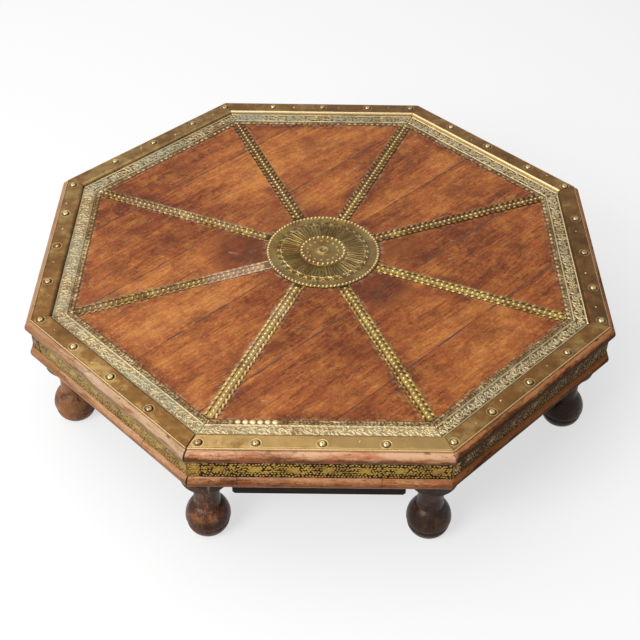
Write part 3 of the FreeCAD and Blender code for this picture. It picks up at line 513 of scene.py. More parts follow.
def bead_strap(index, sizes):
    """Strap on a corner's line: domes in a row on a low rounded rib, and along each edge a row of
    slanted round teeth. The edges swing in between teeth as a square of the distance from the tooth.
    The outer end is cut to the border's corner."""
    wear, pitch, teeth = STRAP_WEAR[CORNERS[index]], sizes.bead_pitch, sizes.tooth_pitch
    start = ROSETTE_RADIUS - sizes.strap_tuck
    tip = border_low.x / math.cos(EIGHTH / 2) - 0.3 * MM
    run = np.linspace(0.0, 1.0, rows_over(tip - start, 0.85 * sizes.grid_step))[:, None]
    share = np.linspace(-1.0, 1.0, rows_over(2 * sizes.strap_half, 0.75 * sizes.grid_step))[None, :]
    from_tooth = from_nearest(start + run * (tip - start), teeth) / (teeth / 2)
    across = share * (sizes.strap_half - 1.5 * MM * from_tooth ** 2)
    reach = start + run * (tip - np.abs(across) * MITRE - start)
    from_row = np.abs(across) - sizes.strap_half + 0.95 * sizes.tooth_radius
    bead = dome(np.hypot(from_nearest(reach, pitch), across), sizes.bead_radius)
    tooth = dome(np.hypot(from_nearest(reach - 0.35 * from_row, teeth), 1.15 * from_row), sizes.tooth_radius)
    rib = dome(across, 4.1 * MM)
    beyond = reach - ROSETTE_RADIUS - 3 * MM
    clear = ramp(beyond, 2 * MM)
    relief = highest(bead, 0.75 * tooth, 0.30 * rib) * clear
    height = BOARD_TOP + sizes.sheet + sizes.bead_height * relief + 0.1 * MM * ripple(reach, across, 40 + index)
    height = np.where(beyond < 0.0, BOARD_TOP + sizes.sheet, height)
    chance = np.random.default_rng(140 + index)
    bead_shine = chance.uniform(0.85, 1.20, 211)[np.round(reach / pitch).astype(int) % 211]
    tooth_number = np.round(reach / teeth).astype(int) % 211
    tooth_shine = chance.uniform(0.36, 0.86, (2, 211))[(across > 0).astype(int), tooth_number]
    shine = highest(bead_shine * bead, tooth_shine * tooth ** 1.6, 0.24 * np.sqrt(rib))
    hem = ramp(np.abs(share) - 0.55, 0.3)
    raised = np.maximum(0.11 + wear.shine * shine * clear, wear.hem * hem)
    points, raised = skirted(index + 0.5, reach, across, height, raised, BOARD_TOP)
    fading = 1.4 - 1.2 * run
    dusty = np.concatenate([wear.dust * fading + 0.16 * hem, 0.15 + 0.0 * reach[:, :2]], axis=1)
    return points, raised, wear.age, dusty


def bead_ring(radius, turn, ring, count, share):
    """Ring of domes of height 1, each as wide as that share of the distance between them."""
    pitch = 2 * math.pi * ring / count
    return dome(np.hypot(radius - ring, from_nearest(turn * ring, pitch)), share * pitch)


def rosette_relief(radius, turn, sizes):
    """Heights above the boards round the rosette's middle: a cupped boss, a dashed ring, a ring of
    beads, petals with a thin rib each whose ends are half ellipses, a wavy ring, a plain dished ring
    and a beaded edge."""
    petal = sizes.petals * turn / (2 * math.pi)
    within = petal - np.round(petal)
    chance = np.random.default_rng(160)
    edge_shine, rib_shine = chance.uniform(0.45, 1.0, (2, sizes.petals))[:, np.round(petal).astype(int) % sizes.petals]
    rib = ridge(within - 0.05 * np.sin(5 * petal), 0.09)
    edges = np.abs(2 * within) ** 4
    end = sizes.petal_end + 4.2 * MM * dome(2 * within, 1.0)
    boss = 1.9 * ridge(radius - 6.4 * MM, 2.7 * MM) - 1.0 * ridge(radius, 2.6 * MM)
    dash = np.clip(1.6 * np.cos(15 * turn), 0.0, 1.0) * ridge(radius - 21.4 * MM, 1.5 * MM)
    hub_bead = bead_ring(radius, turn, sizes.hub_ring, sizes.hub_beads, 0.36)
    edge_bead = bead_ring(radius, turn, sizes.edge_ring, sizes.edge_beads, 0.41)
    petals = ramp(radius - sizes.petal_foot + 0.5 * MM, 2 * MM) * ramp(end - radius, MM)
    lip = ridge(radius - end, 1.0 * MM) * (radius > 50 * MM)
    from_wave = radius - sizes.wave_ring
    waves = ridge(from_wave + 0.9 * MM * np.cos(2 * sizes.petals * turn), 1.1 * MM)
    waves = waves * np.clip(0.35 + 1.3 * np.cos(sizes.petals * turn), 0.0, 1.0)
    ring_shine = 0.33 + 0.16 * ripple(3.1 * np.sin(turn), 4.0 * radius + 0.05 * np.cos(3 * turn), 17)
    ring_shine = ring_shine * (1.0 - 0.40 * petals - 0.5 * ridge(from_wave, 3.0 * MM))
    patchy = np.clip(0.72 + 0.5 * ripple(0.11 * np.sin(turn), 0.11 * np.cos(turn), 18), 0.35, 1.0)
    raised = highest(0.78 * np.clip(boss / 1.9, 0.0, 1.0), 0.85 * dash, 1.1 * hub_bead ** 1.3,
                     petals * patchy * highest(0.95 * edge_shine * edges, 0.72 * rib_shine * rib),
                     lip * patchy, 1.05 * waves * np.sqrt(rib_shine), 1.1 * edge_bead ** 1.3,
                     np.clip(ring_shine, 0.05, 1.0))
    disc = np.where(radius < sizes.petal_foot, 2.5, 1.6)
    dish = 0.5 * ridge(radius - 68 * MM, 5 * MM)
    swell = 0.7 * petals * ramp(radius - sizes.petal_foot, 22 * MM)
    relief = (boss + 0.8 * dash + 1.6 * hub_bead + petals * (1.2 * highest(edges, 0.75 * rib) - 0.2) + swell
              + 1.1 * lip + 0.8 * waves + 1.5 * edge_bead - dish)
    return (disc + relief) * MM, raised


def rosette_points(sizes):
    """Medallion: a grid of radius and angle lifted by its relief, with a skirt down to the boards."""
    rings, segments = 118, 8 * sizes.edge_beads
    radius = np.linspace(0.0, ROSETTE_RADIUS, rings + 1)[1:, None]
    turn = np.linspace(0.0, 2 * math.pi, segments, endpoint=False)[None, :]
    relief, raised = rosette_relief(radius, turn, sizes)
    pole, pole_raised = rosette_relief(np.zeros((1, 1)), np.zeros((1, 1)), sizes)
    radius = np.concatenate([radius, radius[-1:]])
    relief = np.concatenate([relief, np.zeros((1, segments))])
    raised = np.concatenate([raised, np.zeros((1, segments))])
    ring = np.stack([radius * np.cos(turn), radius * np.sin(turn), relief], axis=-1).reshape(-1, 3)
    points = np.concatenate([[[0.0, 0.0, pole[0, 0]]], ring])
    points += np.array([ROSETTE_MIDDLE.x, ROSETTE_MIDDLE.y, BOARD_TOP])
    return points, disc_faces(rings + 1, segments), np.concatenate([pole_raised.ravel(), raised.ravel()])


def scattered_dots(along, up, pitch, radius, seed):
    """Domes of height 1 on a staggered grid whose places are shaken by a seeded table."""
    shake = np.random.default_rng(seed).uniform(-0.24, 0.24, (211, 37, 2))
    nearest = np.full(np.broadcast(along, up).shape, 1.0)
    for column, row, push in nearby_cells(along, up, pitch, shake):
        middle_along = (column + 0.5 + 0.5 * (row % 2) - 0.25 + push[..., 0]) * pitch
        middle_up = (row + 0.5 + push[..., 1]) * pitch
        nearest = np.minimum(nearest, np.hypot(along - middle_along, up - middle_up))
    return dome(nearest, radius)


def band_relief(along, up, sizes, seed):
    """Chased foliage: a wavy stem with leaf pairs and six-lobed flowers standing on punched dots.
    A flower's edge is a circle whose radius swells with the cosine of six times the angle."""
    period = sizes.flower_period
    local = along - (np.floor(along / period) + 0.5) * period
    wave = np.sin(2 * math.pi * along / period)
    lobes = sizes.flower_radius * (1.0 + 0.26 * np.cos(6 * np.arctan2(up, local)))
    flower = ramp(lobes - np.hypot(local / 1.25, up), 0.8 * MM)
    heart = dome(np.hypot(local, up), 2.1 * MM)
    stem = ridge(up - 5.0 * MM * wave, 1.0 * MM)
    leaf_along = from_nearest(along, period / 4, period / 8) / (3.6 * MM)
    leaf_up = (up + 3.0 * MM * np.sign(wave) - 0.4 * leaf_along * MM) / (1.8 * MM)
    leaf = np.clip(1.6 * (1.0 - leaf_along ** 2 - leaf_up ** 2), 0.0, 1.0)
    smooth = np.clip(highest(flower, stem, leaf), 0.0, 1.0)
    dots = scattered_dots(along, up + 0.05, sizes.dot_pitch, 0.38 * sizes.dot_pitch, seed) ** 1.2
    return highest(0.55 * smooth, 0.88 * dots * (1.0 - 0.6 * smooth), 0.8 * heart)


def side_band(index, sizes):
    """Side band: an upright strip run along one side and round the corner for the length of its lap.
    Its front skin stands out by the relief and its back skin lies on the rail."""
    wear, low, high = SIDE_WEAR[SIDES[index]], band_low.z, band_high.z
    face = (band_high.x - sizes.sheet, band_high.x)
    corner = (face[0] * MITRE, face[1] * MITRE)
    begin, finish = -(corner[1] - sizes.band_lap - 0.4 * MM), corner[1] + sizes.band_lap
    first = np.linspace(begin, corner[1], rows_over(corner[1] - begin, sizes.grid_step))
    lap = np.linspace(0.0, sizes.band_lap, rows_over(sizes.band_lap, sizes.grid_step))[1:]
    path = np.concatenate([first, corner[1] + lap])[:, None]
    round_corner = path - 2 * corner[1]
    up = np.linspace(low, high, rows_over(high - low, 0.9 * sizes.grid_step))[None, :]

    def bent(out, along, along_next, height):
        """Points on this side, and on the next side beyond the corner."""
        return np.where((path <= corner[1])[..., None], on_side(index, out, along, height),
                        on_side(index + 1, out, along_next, height))

    raised = band_relief(path + 0.31 * index, up - (low + high) / 2, sizes, 60 + index)
    raised = raised * ramp(np.abs(path - corner[1]), 2 * MM) * ramp(np.minimum(up - low, high - up), 1.2 * MM)
    front = bent(face[1] - 0.15 * MM + sizes.dot_height * raised, path, round_corner, up)
    back = bent(face[0], np.minimum(path, corner[0]), np.maximum(round_corner, -corner[0]), np.array([[high, low]]))
    # The power darkens the band's low places; on the right-hand sides this is painted shade.
    raised = np.maximum(raised, wear.rubbed) ** wear.dull
    raised = raised * np.clip(0.25 + np.minimum(path - begin, finish - path) / (3 * MM), 0.0, 1.0)
    return (np.concatenate([front, back], axis=1), np.concatenate([raised, np.zeros((path.size, 2))], axis=1),
            wear.band, 0.0)


def round_heads(middles, radius, height, rings, segments, seed, whole=1.0):
    """Domed heads standing on given points: rings shrink as a sine and rise as a cosine, then sink to
    a small pit, and each head leans a little by a seeded slope. A head that isn't whole is smaller
    by that share. Each head's colour darkens on the side away from the light as a painted shadow, and in
    the pit as a painted dark reflection."""
    turn = np.linspace(0.0, 2 * math.pi, segments, endpoint=False)[None, :]
    climb = np.linspace(0.0, math.pi / 2, rings + 1)[1:, None]
    dint = 0.45 * ridge(np.sin(climb), 0.30)
    ring = np.stack(np.broadcast_arrays(radius * np.sin(climb) * np.cos(turn),
                                        radius * np.sin(climb) * np.sin(turn),
                                        height * np.cos(climb) * (1.0 - dint)), axis=-1).reshape(-1, 3)
    head = np.concatenate([[[0.0, 0.0, 0.55 * height]], ring])
    slope = np.random.default_rng(seed).uniform(-0.07, 0.07, (len(middles), 1, 2))
    lean = (head[None, :, :2] * slope).sum(axis=-1)
    points = middles[:, None, :] + head[None, :, :] * np.broadcast_to(whole, len(middles))[:, None, None]
    points[..., 2] += lean * (head[None, :, 2] / height)
    single = disc_faces(rings, segments)
    faces = [[corner + copy * len(head) for corner in face] for copy in range(len(middles)) for face in single]
    # Lighter towards the top, with a painted shadow on the side away from the light.
    tone = np.clip(0.15 + 0.9 * head[:, 2] / height, 0.0, 1.0) - 0.5 * np.clip(head @ NAIL_SHADOW_SIDE / radius - 0.1, 0.0, 1.0)
    # Painted dark reflection in the pit at the top.
    tone -= 0.75 * ridge(np.hypot(head[:, 0], head[:, 1]) / radius, 0.24)
    raised = (tone * np.random.default_rng(seed + 50).uniform(0.72, 1.06, (len(middles), 1))).ravel()
    return points, faces, raised


# ---- finishes


class Nodes:
    """Adds nodes to one shader tree. What is given to a socket is a constant or another socket."""

    def __init__(self, tree):
        self.tree = tree

    def feed(self, socket, value):
        if isinstance(value, bpy.types.NodeSocket):
            self.tree.links.new(value, socket)
        else:
            socket.default_value = value

    def add(self, kind, inputs=None, **settings):
        node = self.tree.nodes.new(kind)
        for name, value in settings.items():
            setattr(node, name, value)
        for key, value in (inputs or {}).items():
            self.feed(node.inputs[key], value)
        return node

    def math(self, operation, first, second=0.0):
        return self.add("ShaderNodeMath", {0: first, 1: second}, operation=operation).outputs[0]

    def sum(self, *values):
        return functools.reduce(functools.partial(self.math, "ADD"), values)

    def times(self, *values):
        return functools.reduce(functools.partial(self.math, "MULTIPLY"), values)

    def most(self, *values):
        return functools.reduce(functools.partial(self.math, "MAXIMUM"), values)

    def less(self, first, second):
        return self.math("SUBTRACT", first, second)

    def apart(self, first, second):
        return self.math("ABSOLUTE", self.less(first, second))

    def weigh(self, base, *shares):
        """A base and other values, each times its share."""
        return self.sum(base, *(self.times(value, share) for value, share in shares))

    def swing(self, value, amount):
        """Noise moved to lie about 0 and scaled to that amount."""
        return self.times(self.less(value, 0.5), amount)

    def rise(self, value, low, high):
        """0 below low, 1 above high and a smooth step between. It falls where low is above high."""
        node = self.add("ShaderNodeMapRange", {0: value, 1: low, 2: high}, interpolation_type="SMOOTHSTEP")
        return node.outputs[0]

    def layers(self, shade, *layers):
        """A colour with others laid over it in turn, each where its mask is and by its share."""
        for mask, share, colour in layers:
            inputs = {0: self.times(mask, share), 6: shade, 7: colour}
            shade = self.add("ShaderNodeMix", inputs, data_type="RGBA").outputs[2]
        return shade

    def noise(self, vector, scale, detail=3.0, roughness=0.55):
        """Cloudy noise about 0.5. Three scales draw it out along the axes."""
        if isinstance(scale, tuple):
            vector = self.add("ShaderNodeVectorMath", {0: vector, 1: scale}, operation="MULTIPLY").outputs[0]
            scale = 1.0
        inputs = {"Vector": vector, "Scale": scale, "Detail": detail, "Roughness": roughness}
        return self.add("ShaderNodeTexNoise", inputs).outputs[0]

    def patches(self, vector, scale, low, high, detail=3.0, roughness=0.55):
        """Patches with soft edges where the noise climbs from low to high."""
        return self.rise(self.noise(vector, scale, detail, roughness), low, high)

    def turned(self, vector, angle):
        return self.add("ShaderNodeVectorRotate", {"Vector": vector, "Angle": angle},
                        rotation_type="Z_AXIS").outputs[0]

    def away(self, place, x, y):
        """Distance from a place on the boards."""
        inputs = {0: place, 1: (x, y, BOARD_TOP)}
        return self.add("ShaderNodeVectorMath", inputs, operation="DISTANCE").outputs["Value"]

    def spot(self, place, x, y, radius):
        """1 round a place on the boards, falling to 0 at the radius."""
        return self.rise(self.away(place, x, y), radius, 0.3 * radius)

    def parts(self, vector):
        return self.add("ShaderNodeSeparateXYZ", {0: vector}).outputs

    def joined(self, x, y, z):
        return self.add("ShaderNodeCombineXYZ", {0: x, 1: y, 2: z}).outputs[0]

    def use(self, tree, **inputs):
        """Place a node group and return its outputs."""
        return self.add("ShaderNodeGroup", inputs, node_tree=tree).outputs


def node_group(name, inputs, outputs, fill):
    """Shader node group with named sockets, built once. fill returns a value for each output."""
    tree = bpy.data.node_groups.get(name)
    if tree:
        return tree
    tree = bpy.data.node_groups.new(name, "ShaderNodeTree")
    kinds = {"vector": "NodeSocketVector", "value": "NodeSocketFloat", "colour": "NodeSocketColor"}
    for way, sockets in (("INPUT", inputs), ("OUTPUT", outputs)):
        for kind, names in sockets.items():
            for socket in names.split():
                tree.interface.new_socket(socket, in_out=way, socket_type=kinds[kind])
    nodes = Nodes(tree)
    start = nodes.add("NodeGroupInput").outputs
    end = nodes.add("NodeGroupOutput").inputs
    for socket, value in fill(nodes, start).items():
        nodes.feed(end[socket], value)
    return tree


def octagon_places(name, nearest, shift):
    """Turns a point to its own side or corner of the octagon: X out, Y along or across and Z up, and
    the number of that side or corner."""
    def fill(nodes, start):
        x, y, _ = nodes.parts(start["Vector"])
        number = nodes.math(nearest, nodes.math("DIVIDE", nodes.math("ARCTAN2", y, x), EIGHTH))
        turn = nodes.times(nodes.sum(number, shift), -EIGHTH)
        return {"Place": nodes.turned(start["Vector"], turn), "Number": number}
    return node_group(name, {"vector": "Vector"}, {"vector": "Place", "value": "Number"}, fill)


def side_places():
    return octagon_places("Side places", "ROUND", 0.0)


def corner_places():
    return octagon_places("Corner places", "FLOOR", 0.5)


def wood_grain():
    """Figured wood with the grain along X: broad bands, mottling, fibres and pores, all long noise."""
    def fill(nodes, start):
        drift = nodes.noise(start["Vector"], (4.0, 9.0, 9.0), 2.0)
        push = nodes.joined(0.0, nodes.swing(drift, 0.03), 0.0)
        place = nodes.add("ShaderNodeVectorMath", {0: start["Vector"], 1: push}).outputs[0]

        def streaks(along, across, detail, roughness=0.55):
            return nodes.noise(place, (along, across, across), detail, roughness)

        fine = streaks(16.0, 300.0, 5.0, 0.7)
        pores = nodes.rise(streaks(70.0, 1500.0, 2.0), 0.58, 0.70)
        tone = nodes.weigh(start["Tone"], (streaks(4.0, 30.0, 5.0, 0.6), 0.25), (fine, 0.20),
                           (streaks(44.0, 640.0, 3.0, 0.65), 0.14), (streaks(40.0, 78.0, 4.0, 0.7), 0.17),
                           (streaks(240.0, 420.0, 3.0, 0.7), 0.24))
        shade = nodes.layers(start["Dark"], (nodes.rise(tone, 0.405, 0.525), 1.0, start["Body"]),
                             (nodes.rise(tone, 0.505, 0.595), 0.85, start["Pale"]), (pores, 0.5, start["Dark"]))
        return {"Color": shade, "Height": nodes.times(nodes.less(fine, pores), 0.5), "Pores": pores}
    return node_group("Wood grain", {"vector": "Vector", "value": "Tone", "colour": "Pale Body Dark"},
                      {"colour": "Color", "value": "Height Pores"}, fill)


def scratches():
    """Thin scratches: narrow level lines of long noise, broken up by a slower noise."""
    def fill(nodes, start):
        marks = []
        for turn, scale in ((0.35, (9.0, 70.0, 20.0)), (-0.9, (7.0, 95.0, 20.0))):
            lines = nodes.turned(start["Vector"], turn)
            near = nodes.apart(nodes.noise(lines, scale, 1.0), 0.5)
            marks.append(nodes.times(nodes.rise(near, 0.006, 0.001), nodes.patches(lines, 26.0, 0.56, 0.66)))
        return {"Mask": nodes.most(*marks)}
    return node_group("Scratches", {"vector": "Vector"}, {"value": "Mask"}, fill)


def brass_patina():
    """Old brass: cloudy brown tarnish, dark hollows, polished high places and grey-green bloom."""
    def fill(nodes, start):
        patch = nodes.noise(start["Vector"], 13.0, 3.0, 0.6)
        cloud = nodes.noise(start["Vector"], 52.0, 6.0, 0.7)
        speck = nodes.noise(start["Vector"], 520.0, 2.0)
        raised = nodes.sum(start["Raised"], nodes.swing(speck, 0.28))
        age = nodes.weigh(nodes.sum(start["Age"], -0.08), (patch, 0.42), (cloud, 0.62), (speck, 0.12))
        tarnish = nodes.rise(age, 0.40, 0.64)
        hollow, high = nodes.rise(raised, 0.42, 0.08), nodes.rise(raised, 0.62, 0.98)
        bloom = nodes.times(nodes.patches(start["Vector"], 15.0, 0.36, 0.68, 5.0, 0.6), start["Bloom"],
                            nodes.weigh(1.0, (high, -0.6)), nodes.weigh(1.0, (hollow, -0.65)))
        shade = nodes.layers(start["Body"], (tarnish, 0.88, start["Brown"]),
                             (nodes.rise(age, 0.62, 0.82), 0.6, start["Hollow"]), (hollow, 1.0, start["Hollow"]),
                             (high, 0.88, start["Bright"]), (bloom, 1.0, start["Green"]))
        return {"Color": shade,
                "Roughness": nodes.weigh(0.25, (tarnish, 0.14), (hollow, 0.3), (bloom, 0.3)),
                "Metallic": nodes.weigh(0.97, (tarnish, -0.05), (bloom, -0.4)),
                "Height": nodes.sum(nodes.times(speck, 0.6), nodes.times(cloud, 0.4))}
    return node_group("Brass patina", {"vector": "Vector", "value": "Raised Age Bloom",
                                       "colour": "Bright Body Brown Hollow Green"},
                      {"colour": "Color", "value": "Roughness Metallic Height"}, fill)


def finish_for(name, fill):
    """Material of that name, made once. fill gives what its Principled shader takes and a bump height."""
    material = bpy.data.materials.get(name)
    if material:
        return material
    material = bpy.data.materials.new(name)
    material.use_nodes = True
    nodes = Nodes(material.node_tree)
    shader = material.node_tree.nodes["Principled BSDF"]
    given = fill(nodes, nodes.add("ShaderNodeTexCoord").outputs["Object"])
    height, strength, distance = given.pop("Bump")
    bump = nodes.add("ShaderNodeBump", {"Strength": strength, "Distance": distance, "Height": height})
    given["Normal"] = bump.outputs[0]
    for socket, value in given.items():
        nodes.feed(shader.inputs[socket], value)
    return material


def brass(name, body, hollow, film, pitted=0.25):
    """Brass finish of one group of sheets. Relief, age and dust are read from the points; film is the
    colour of the dust or bloom."""
    colours = bpy.context.scene.low_table_colours

    def fill(nodes, place):
        raised, aged, dusty = (nodes.add("ShaderNodeAttribute", attribute_name=label).outputs["Fac"]
                               for label in ("raised", "aged", "dusty"))
        made = nodes.use(brass_patina(), Vector=place, Raised=raised, Age=aged, Bloom=dusty,
                         Bright=colours.brass_bright, Body=body, Brown=colours.brass_brown,
                         Hollow=hollow, Green=film)
        return {"Base Color": made["Color"], "Roughness": made["Roughness"], "Metallic": made["Metallic"],
                "Bump": (made["Height"], pitted, 0.3 * MM)}
    return finish_for(name, fill)


def board_wood():
    """Top boards: each board has its own streaks and tone; dirt and dust lie along the brass."""
    colours, sizes = bpy.context.scene.low_table_colours, bpy.context.scene.low_table_sizes

    def fill(nodes, place):
        turned = nodes.turned(place, -EIGHTH)
        along, across, up = nodes.parts(turned)
        step = nodes.math("DIVIDE", nodes.less(across, FIRST_JOINT), BOARD_WIDTH)
        board = nodes.math("FLOOR", step)
        chance = nodes.add("ShaderNodeTexWhiteNoise", {"W": board}, noise_dimensions="1D").outputs[0]
        grain_place = nodes.joined(nodes.weigh(along, (board, 3.7)), across, nodes.weigh(up, (board, 1.3)))
        sunned, shaded = (nodes.most(*(nodes.spot(place, *spot) for spot in spots)) for spots in (SUNNED, SHADED))
        tone = nodes.weigh(nodes.swing(chance, 0.04), (sunned, 0.03), (shaded, -0.045))
        grain = nodes.use(wood_grain(), Vector=grain_place, Tone=tone, Pale=colours.board_pale,
                          Body=colours.board_body, Dark=colours.board_dark)
        blotch = nodes.patches(place, 17.0, 0.49, 0.64, 6.0, 0.7)
        from_corner = nodes.parts(nodes.use(corner_places(), Vector=place)["Place"])[1]
        side_out = nodes.parts(nodes.use(side_places(), Vector=place)["Place"])[0]
        to_rosette = nodes.less(nodes.away(place, ROSETTE_MIDDLE.x, ROSETTE_MIDDLE.y), ROSETTE_RADIUS)
        to_strap = nodes.less(nodes.math("ABSOLUTE", from_corner), sizes.strap_half)
        clear = nodes.math("MINIMUM", nodes.math("MINIMUM", nodes.times(to_rosette, 0.5), to_strap),
                           nodes.less(border_low.x, side_out))
        ragged = nodes.sum(clear, nodes.swing(nodes.noise(place, 70.0, 4.0, 0.65), 26 * MM))
        in_places = nodes.most(nodes.patches(place, 10.0, 0.44, 0.58), nodes.spot(place, *DUSTY_CORNER))
        dirt = nodes.times(nodes.rise(ragged, 20 * MM, 1 * MM), in_places,
                           nodes.patches(place, 210.0, 0.34, 0.60, 5.0, 0.75))
        grime = nodes.most(*(nodes.times(nodes.spot(place, *spot), black) for spot, black in GRIMY.items()),
                           nodes.times(nodes.rise(to_rosette, 36 * MM, 2 * MM), 0.58))
        dirt = nodes.most(dirt, nodes.times(grime, nodes.patches(place, 80.0, 0.15, 0.40, 5.0, 0.7)))
        powder = nodes.patches(place, 150.0, 0.50, 0.62, 4.0, 0.7)
        powder = nodes.times(nodes.rise(clear, 4.5 * MM, 0.3 * MM), powder)
        joint = nodes.rise(nodes.apart(nodes.math("FRACT", step), 0.5),
                           0.5 - 2.1 * MM / BOARD_WIDTH, 0.5 - 0.7 * MM / BOARD_WIDTH)
        split = nodes.rise(nodes.apart(nodes.noise(grain_place, (2.4, 70.0, 70.0), 1.0), 0.5), 0.012, 0.003)
        split = nodes.times(split, nodes.patches(turned, 17.0, 0.53, 0.60))
        flecks = nodes.times(nodes.patches(place, 230.0, 0.69, 0.74, 2.0),
                             nodes.sum(0.3, nodes.spot(place, *CHIPPED)))
        marks = nodes.most(nodes.use(scratches(), Vector=place)["Mask"], nodes.times(flecks, 2.0))
        shade = nodes.layers(
            grain["Color"],
            (nodes.patches(grain_place, 55.0, 0.49, 0.63, 5.0, 0.7), 0.35, colours.board_tawny),
            (blotch, 0.46, colours.board_dark),
            (dirt, 0.85, colours.board_dirt),
            (nodes.patches(place, 42.0, 0.46, 0.64, 5.0, 0.7), 0.45, colours.board_ruddy),
            (powder, 0.55, colours.strap_dust),
            (joint, nodes.patches(place, 38.0, 0.43, 0.58, 6.0, 0.75), colours.board_joint),
            (split, 0.5, colours.board_split),
            (marks, 0.35, colours.dust))
        rough = nodes.weigh(0.42, (grain["Pores"], 0.2), (dirt, 0.12), (blotch, -0.06))
        return {"Base Color": shade, "Roughness": rough, "Specular IOR Level": 0.11,
                "Bump": (grain["Height"], 0.35, 0.4 * MM)}
    return finish_for("board_grain", fill)


def rail_wood():
    """Frame rails: grain along each side. Each moulding is pale above, worn and with a painted highlight,
    and dark below, dirty and with painted shade; it has dark patches and chips, and is open a little at its
    joints. The sides at the left are bleached, pale above and olive below in the same painted light, and
    those at the right are painted black as in shade, with a painted orange highlight along the top of each
    moulding."""
    colours = bpy.context.scene.low_table_colours
    middle, moulding = (band_low.z + band_high.z) / 2, band_low.z - RAIL_FOOT

    def fill(nodes, place):
        side, corner = nodes.use(side_places(), Vector=place), nodes.use(corner_places(), Vector=place)
        out, along, up = nodes.parts(side["Place"])
        x = nodes.parts(place)[0]

        def drawn(share, lift=0.0):
            return nodes.joined(nodes.times(along, share), out, nodes.sum(up, lift))

        long_place = drawn(0.35)
        tone = nodes.swing(nodes.noise(long_place, 30.0), 0.25)
        grain_place = nodes.joined(nodes.weigh(along, (side["Number"], 2.3)), out, up)
        grain = nodes.use(wood_grain(), Vector=grain_place, Tone=tone, Pale=colours.rail_worn_and_highlight,
                          Body=colours.rail_body, Dark=colours.rail_dark_and_shade)
        is_upper = nodes.math("GREATER_THAN", up, middle)
        foot_line = nodes.weigh(RAIL_FOOT, (is_upper, band_high.z - RAIL_FOOT))
        streak = nodes.noise(drawn(0.10), 230.0, 5.0, 0.7)
        level = nodes.sum(nodes.math("DIVIDE", nodes.less(up, foot_line), moulding),
                          nodes.swing(nodes.noise(long_place, 60.0, 5.0, 0.65), 0.75),
                          nodes.swing(nodes.noise(long_place, 330.0, 4.0, 0.75), 0.55), nodes.swing(streak, 0.8))
        # Bleached sides: bare above and olive below by height, as painted highlight and shade, with chalky and brown
        # streaks.
        chalky = nodes.layers(colours.rail_olive_and_shade,
                              (nodes.rise(nodes.sum(level, streak, -0.5), 0.55, 0.95), 1.0, colours.rail_bare_and_highlight),
                              (nodes.rise(streak, 0.52, 0.64), 0.6, colours.rail_chalk),
                              (nodes.rise(streak, 0.48, 0.36), 0.85, colours.rail_brown))
        # Right-hand sides: painted black as in shade, with a painted highlight along the top of each moulding.
        rubbed = nodes.rise(nodes.weigh(nodes.sum(level, 0.25), (is_upper, -0.27)), 0.72, 1.0)
        shaded_side, right_side_light = nodes.rise(x, *SHADED_RIGHT), nodes.layers(colours.right_side_shade, (rubbed, 1.0, colours.right_side_highlight))
        stain = nodes.patches(drawn(0.6), 38.0, 0.57, 0.68, 5.0, 0.7)
        chips = nodes.patches(drawn(0.5), 230.0, 0.66, 0.70, 3.0, 0.6)
        nicks = nodes.patches(drawn(0.4, 0.7), 170.0, 0.63, 0.68, 4.0, 0.7)
        from_butt = nodes.apart(nodes.math("ABSOLUTE", nodes.sum(along, BUTT_SHIFT)), BUTT_REACH)
        butt = nodes.times(nodes.rise(from_butt, 0.9 * MM, 0.3 * MM), nodes.less(1.0, is_upper))
        opened = nodes.math("COMPARE", corner["Number"], OPEN_MITRE)
        from_mitre = nodes.math("DIVIDE", nodes.math("ABSOLUTE", nodes.parts(corner["Place"])[1]),
                                nodes.weigh(0.5 * MM, (opened, 1.0 * MM)))
        mitre = nodes.times(nodes.rise(from_mitre, 1.0, 0.5), nodes.weigh(0.5, (opened, 0.45)))
        shade = nodes.layers(
            grain["Color"],
            # By height on each moulding: pale above as wear and painted highlight, dark below as dirt and painted
            # shade.
            (nodes.rise(level, 0.64, 1.02), nodes.weigh(0.5, (is_upper, 0.45)), colours.rail_worn_and_highlight),
            (nodes.rise(level, 0.78, 0.48), nodes.weigh(0.55, (is_upper, 0.34)), colours.rail_dark_and_shade),
            (nodes.patches(drawn(0.16, 0.3), 110.0, 0.49, 0.61, 4.0, 0.65), 0.62, colours.rail_red),
            (nodes.rise(x, *BLEACHED), nodes.weigh(0.38, (is_upper, 0.42)), chalky),
            (shaded_side, 0.88, right_side_light),
            (stain, 0.5, colours.rail_dark_and_shade),
            (chips, 0.7, colours.dust),
            (nicks, 0.75, colours.rail_nick),
            (nodes.most(nodes.times(butt, 0.55), mitre), 1.0, colours.rail_gap),
            (nodes.rise(x, *FAR_LEFT), 0.6, colours.rail_left))
        rough = nodes.weigh(0.30, (stain, 0.2), (grain["Pores"], 0.12), (shaded_side, 0.4))
        height = nodes.weigh(grain["Height"], (chips, -0.8), (nicks, -0.8))
        return {"Base Color": shade, "Roughness": rough, "Specular IOR Level": 0.14,
                "Bump": (height, 0.5, 0.4 * MM)}
    return finish_for("rail_grain", fill)


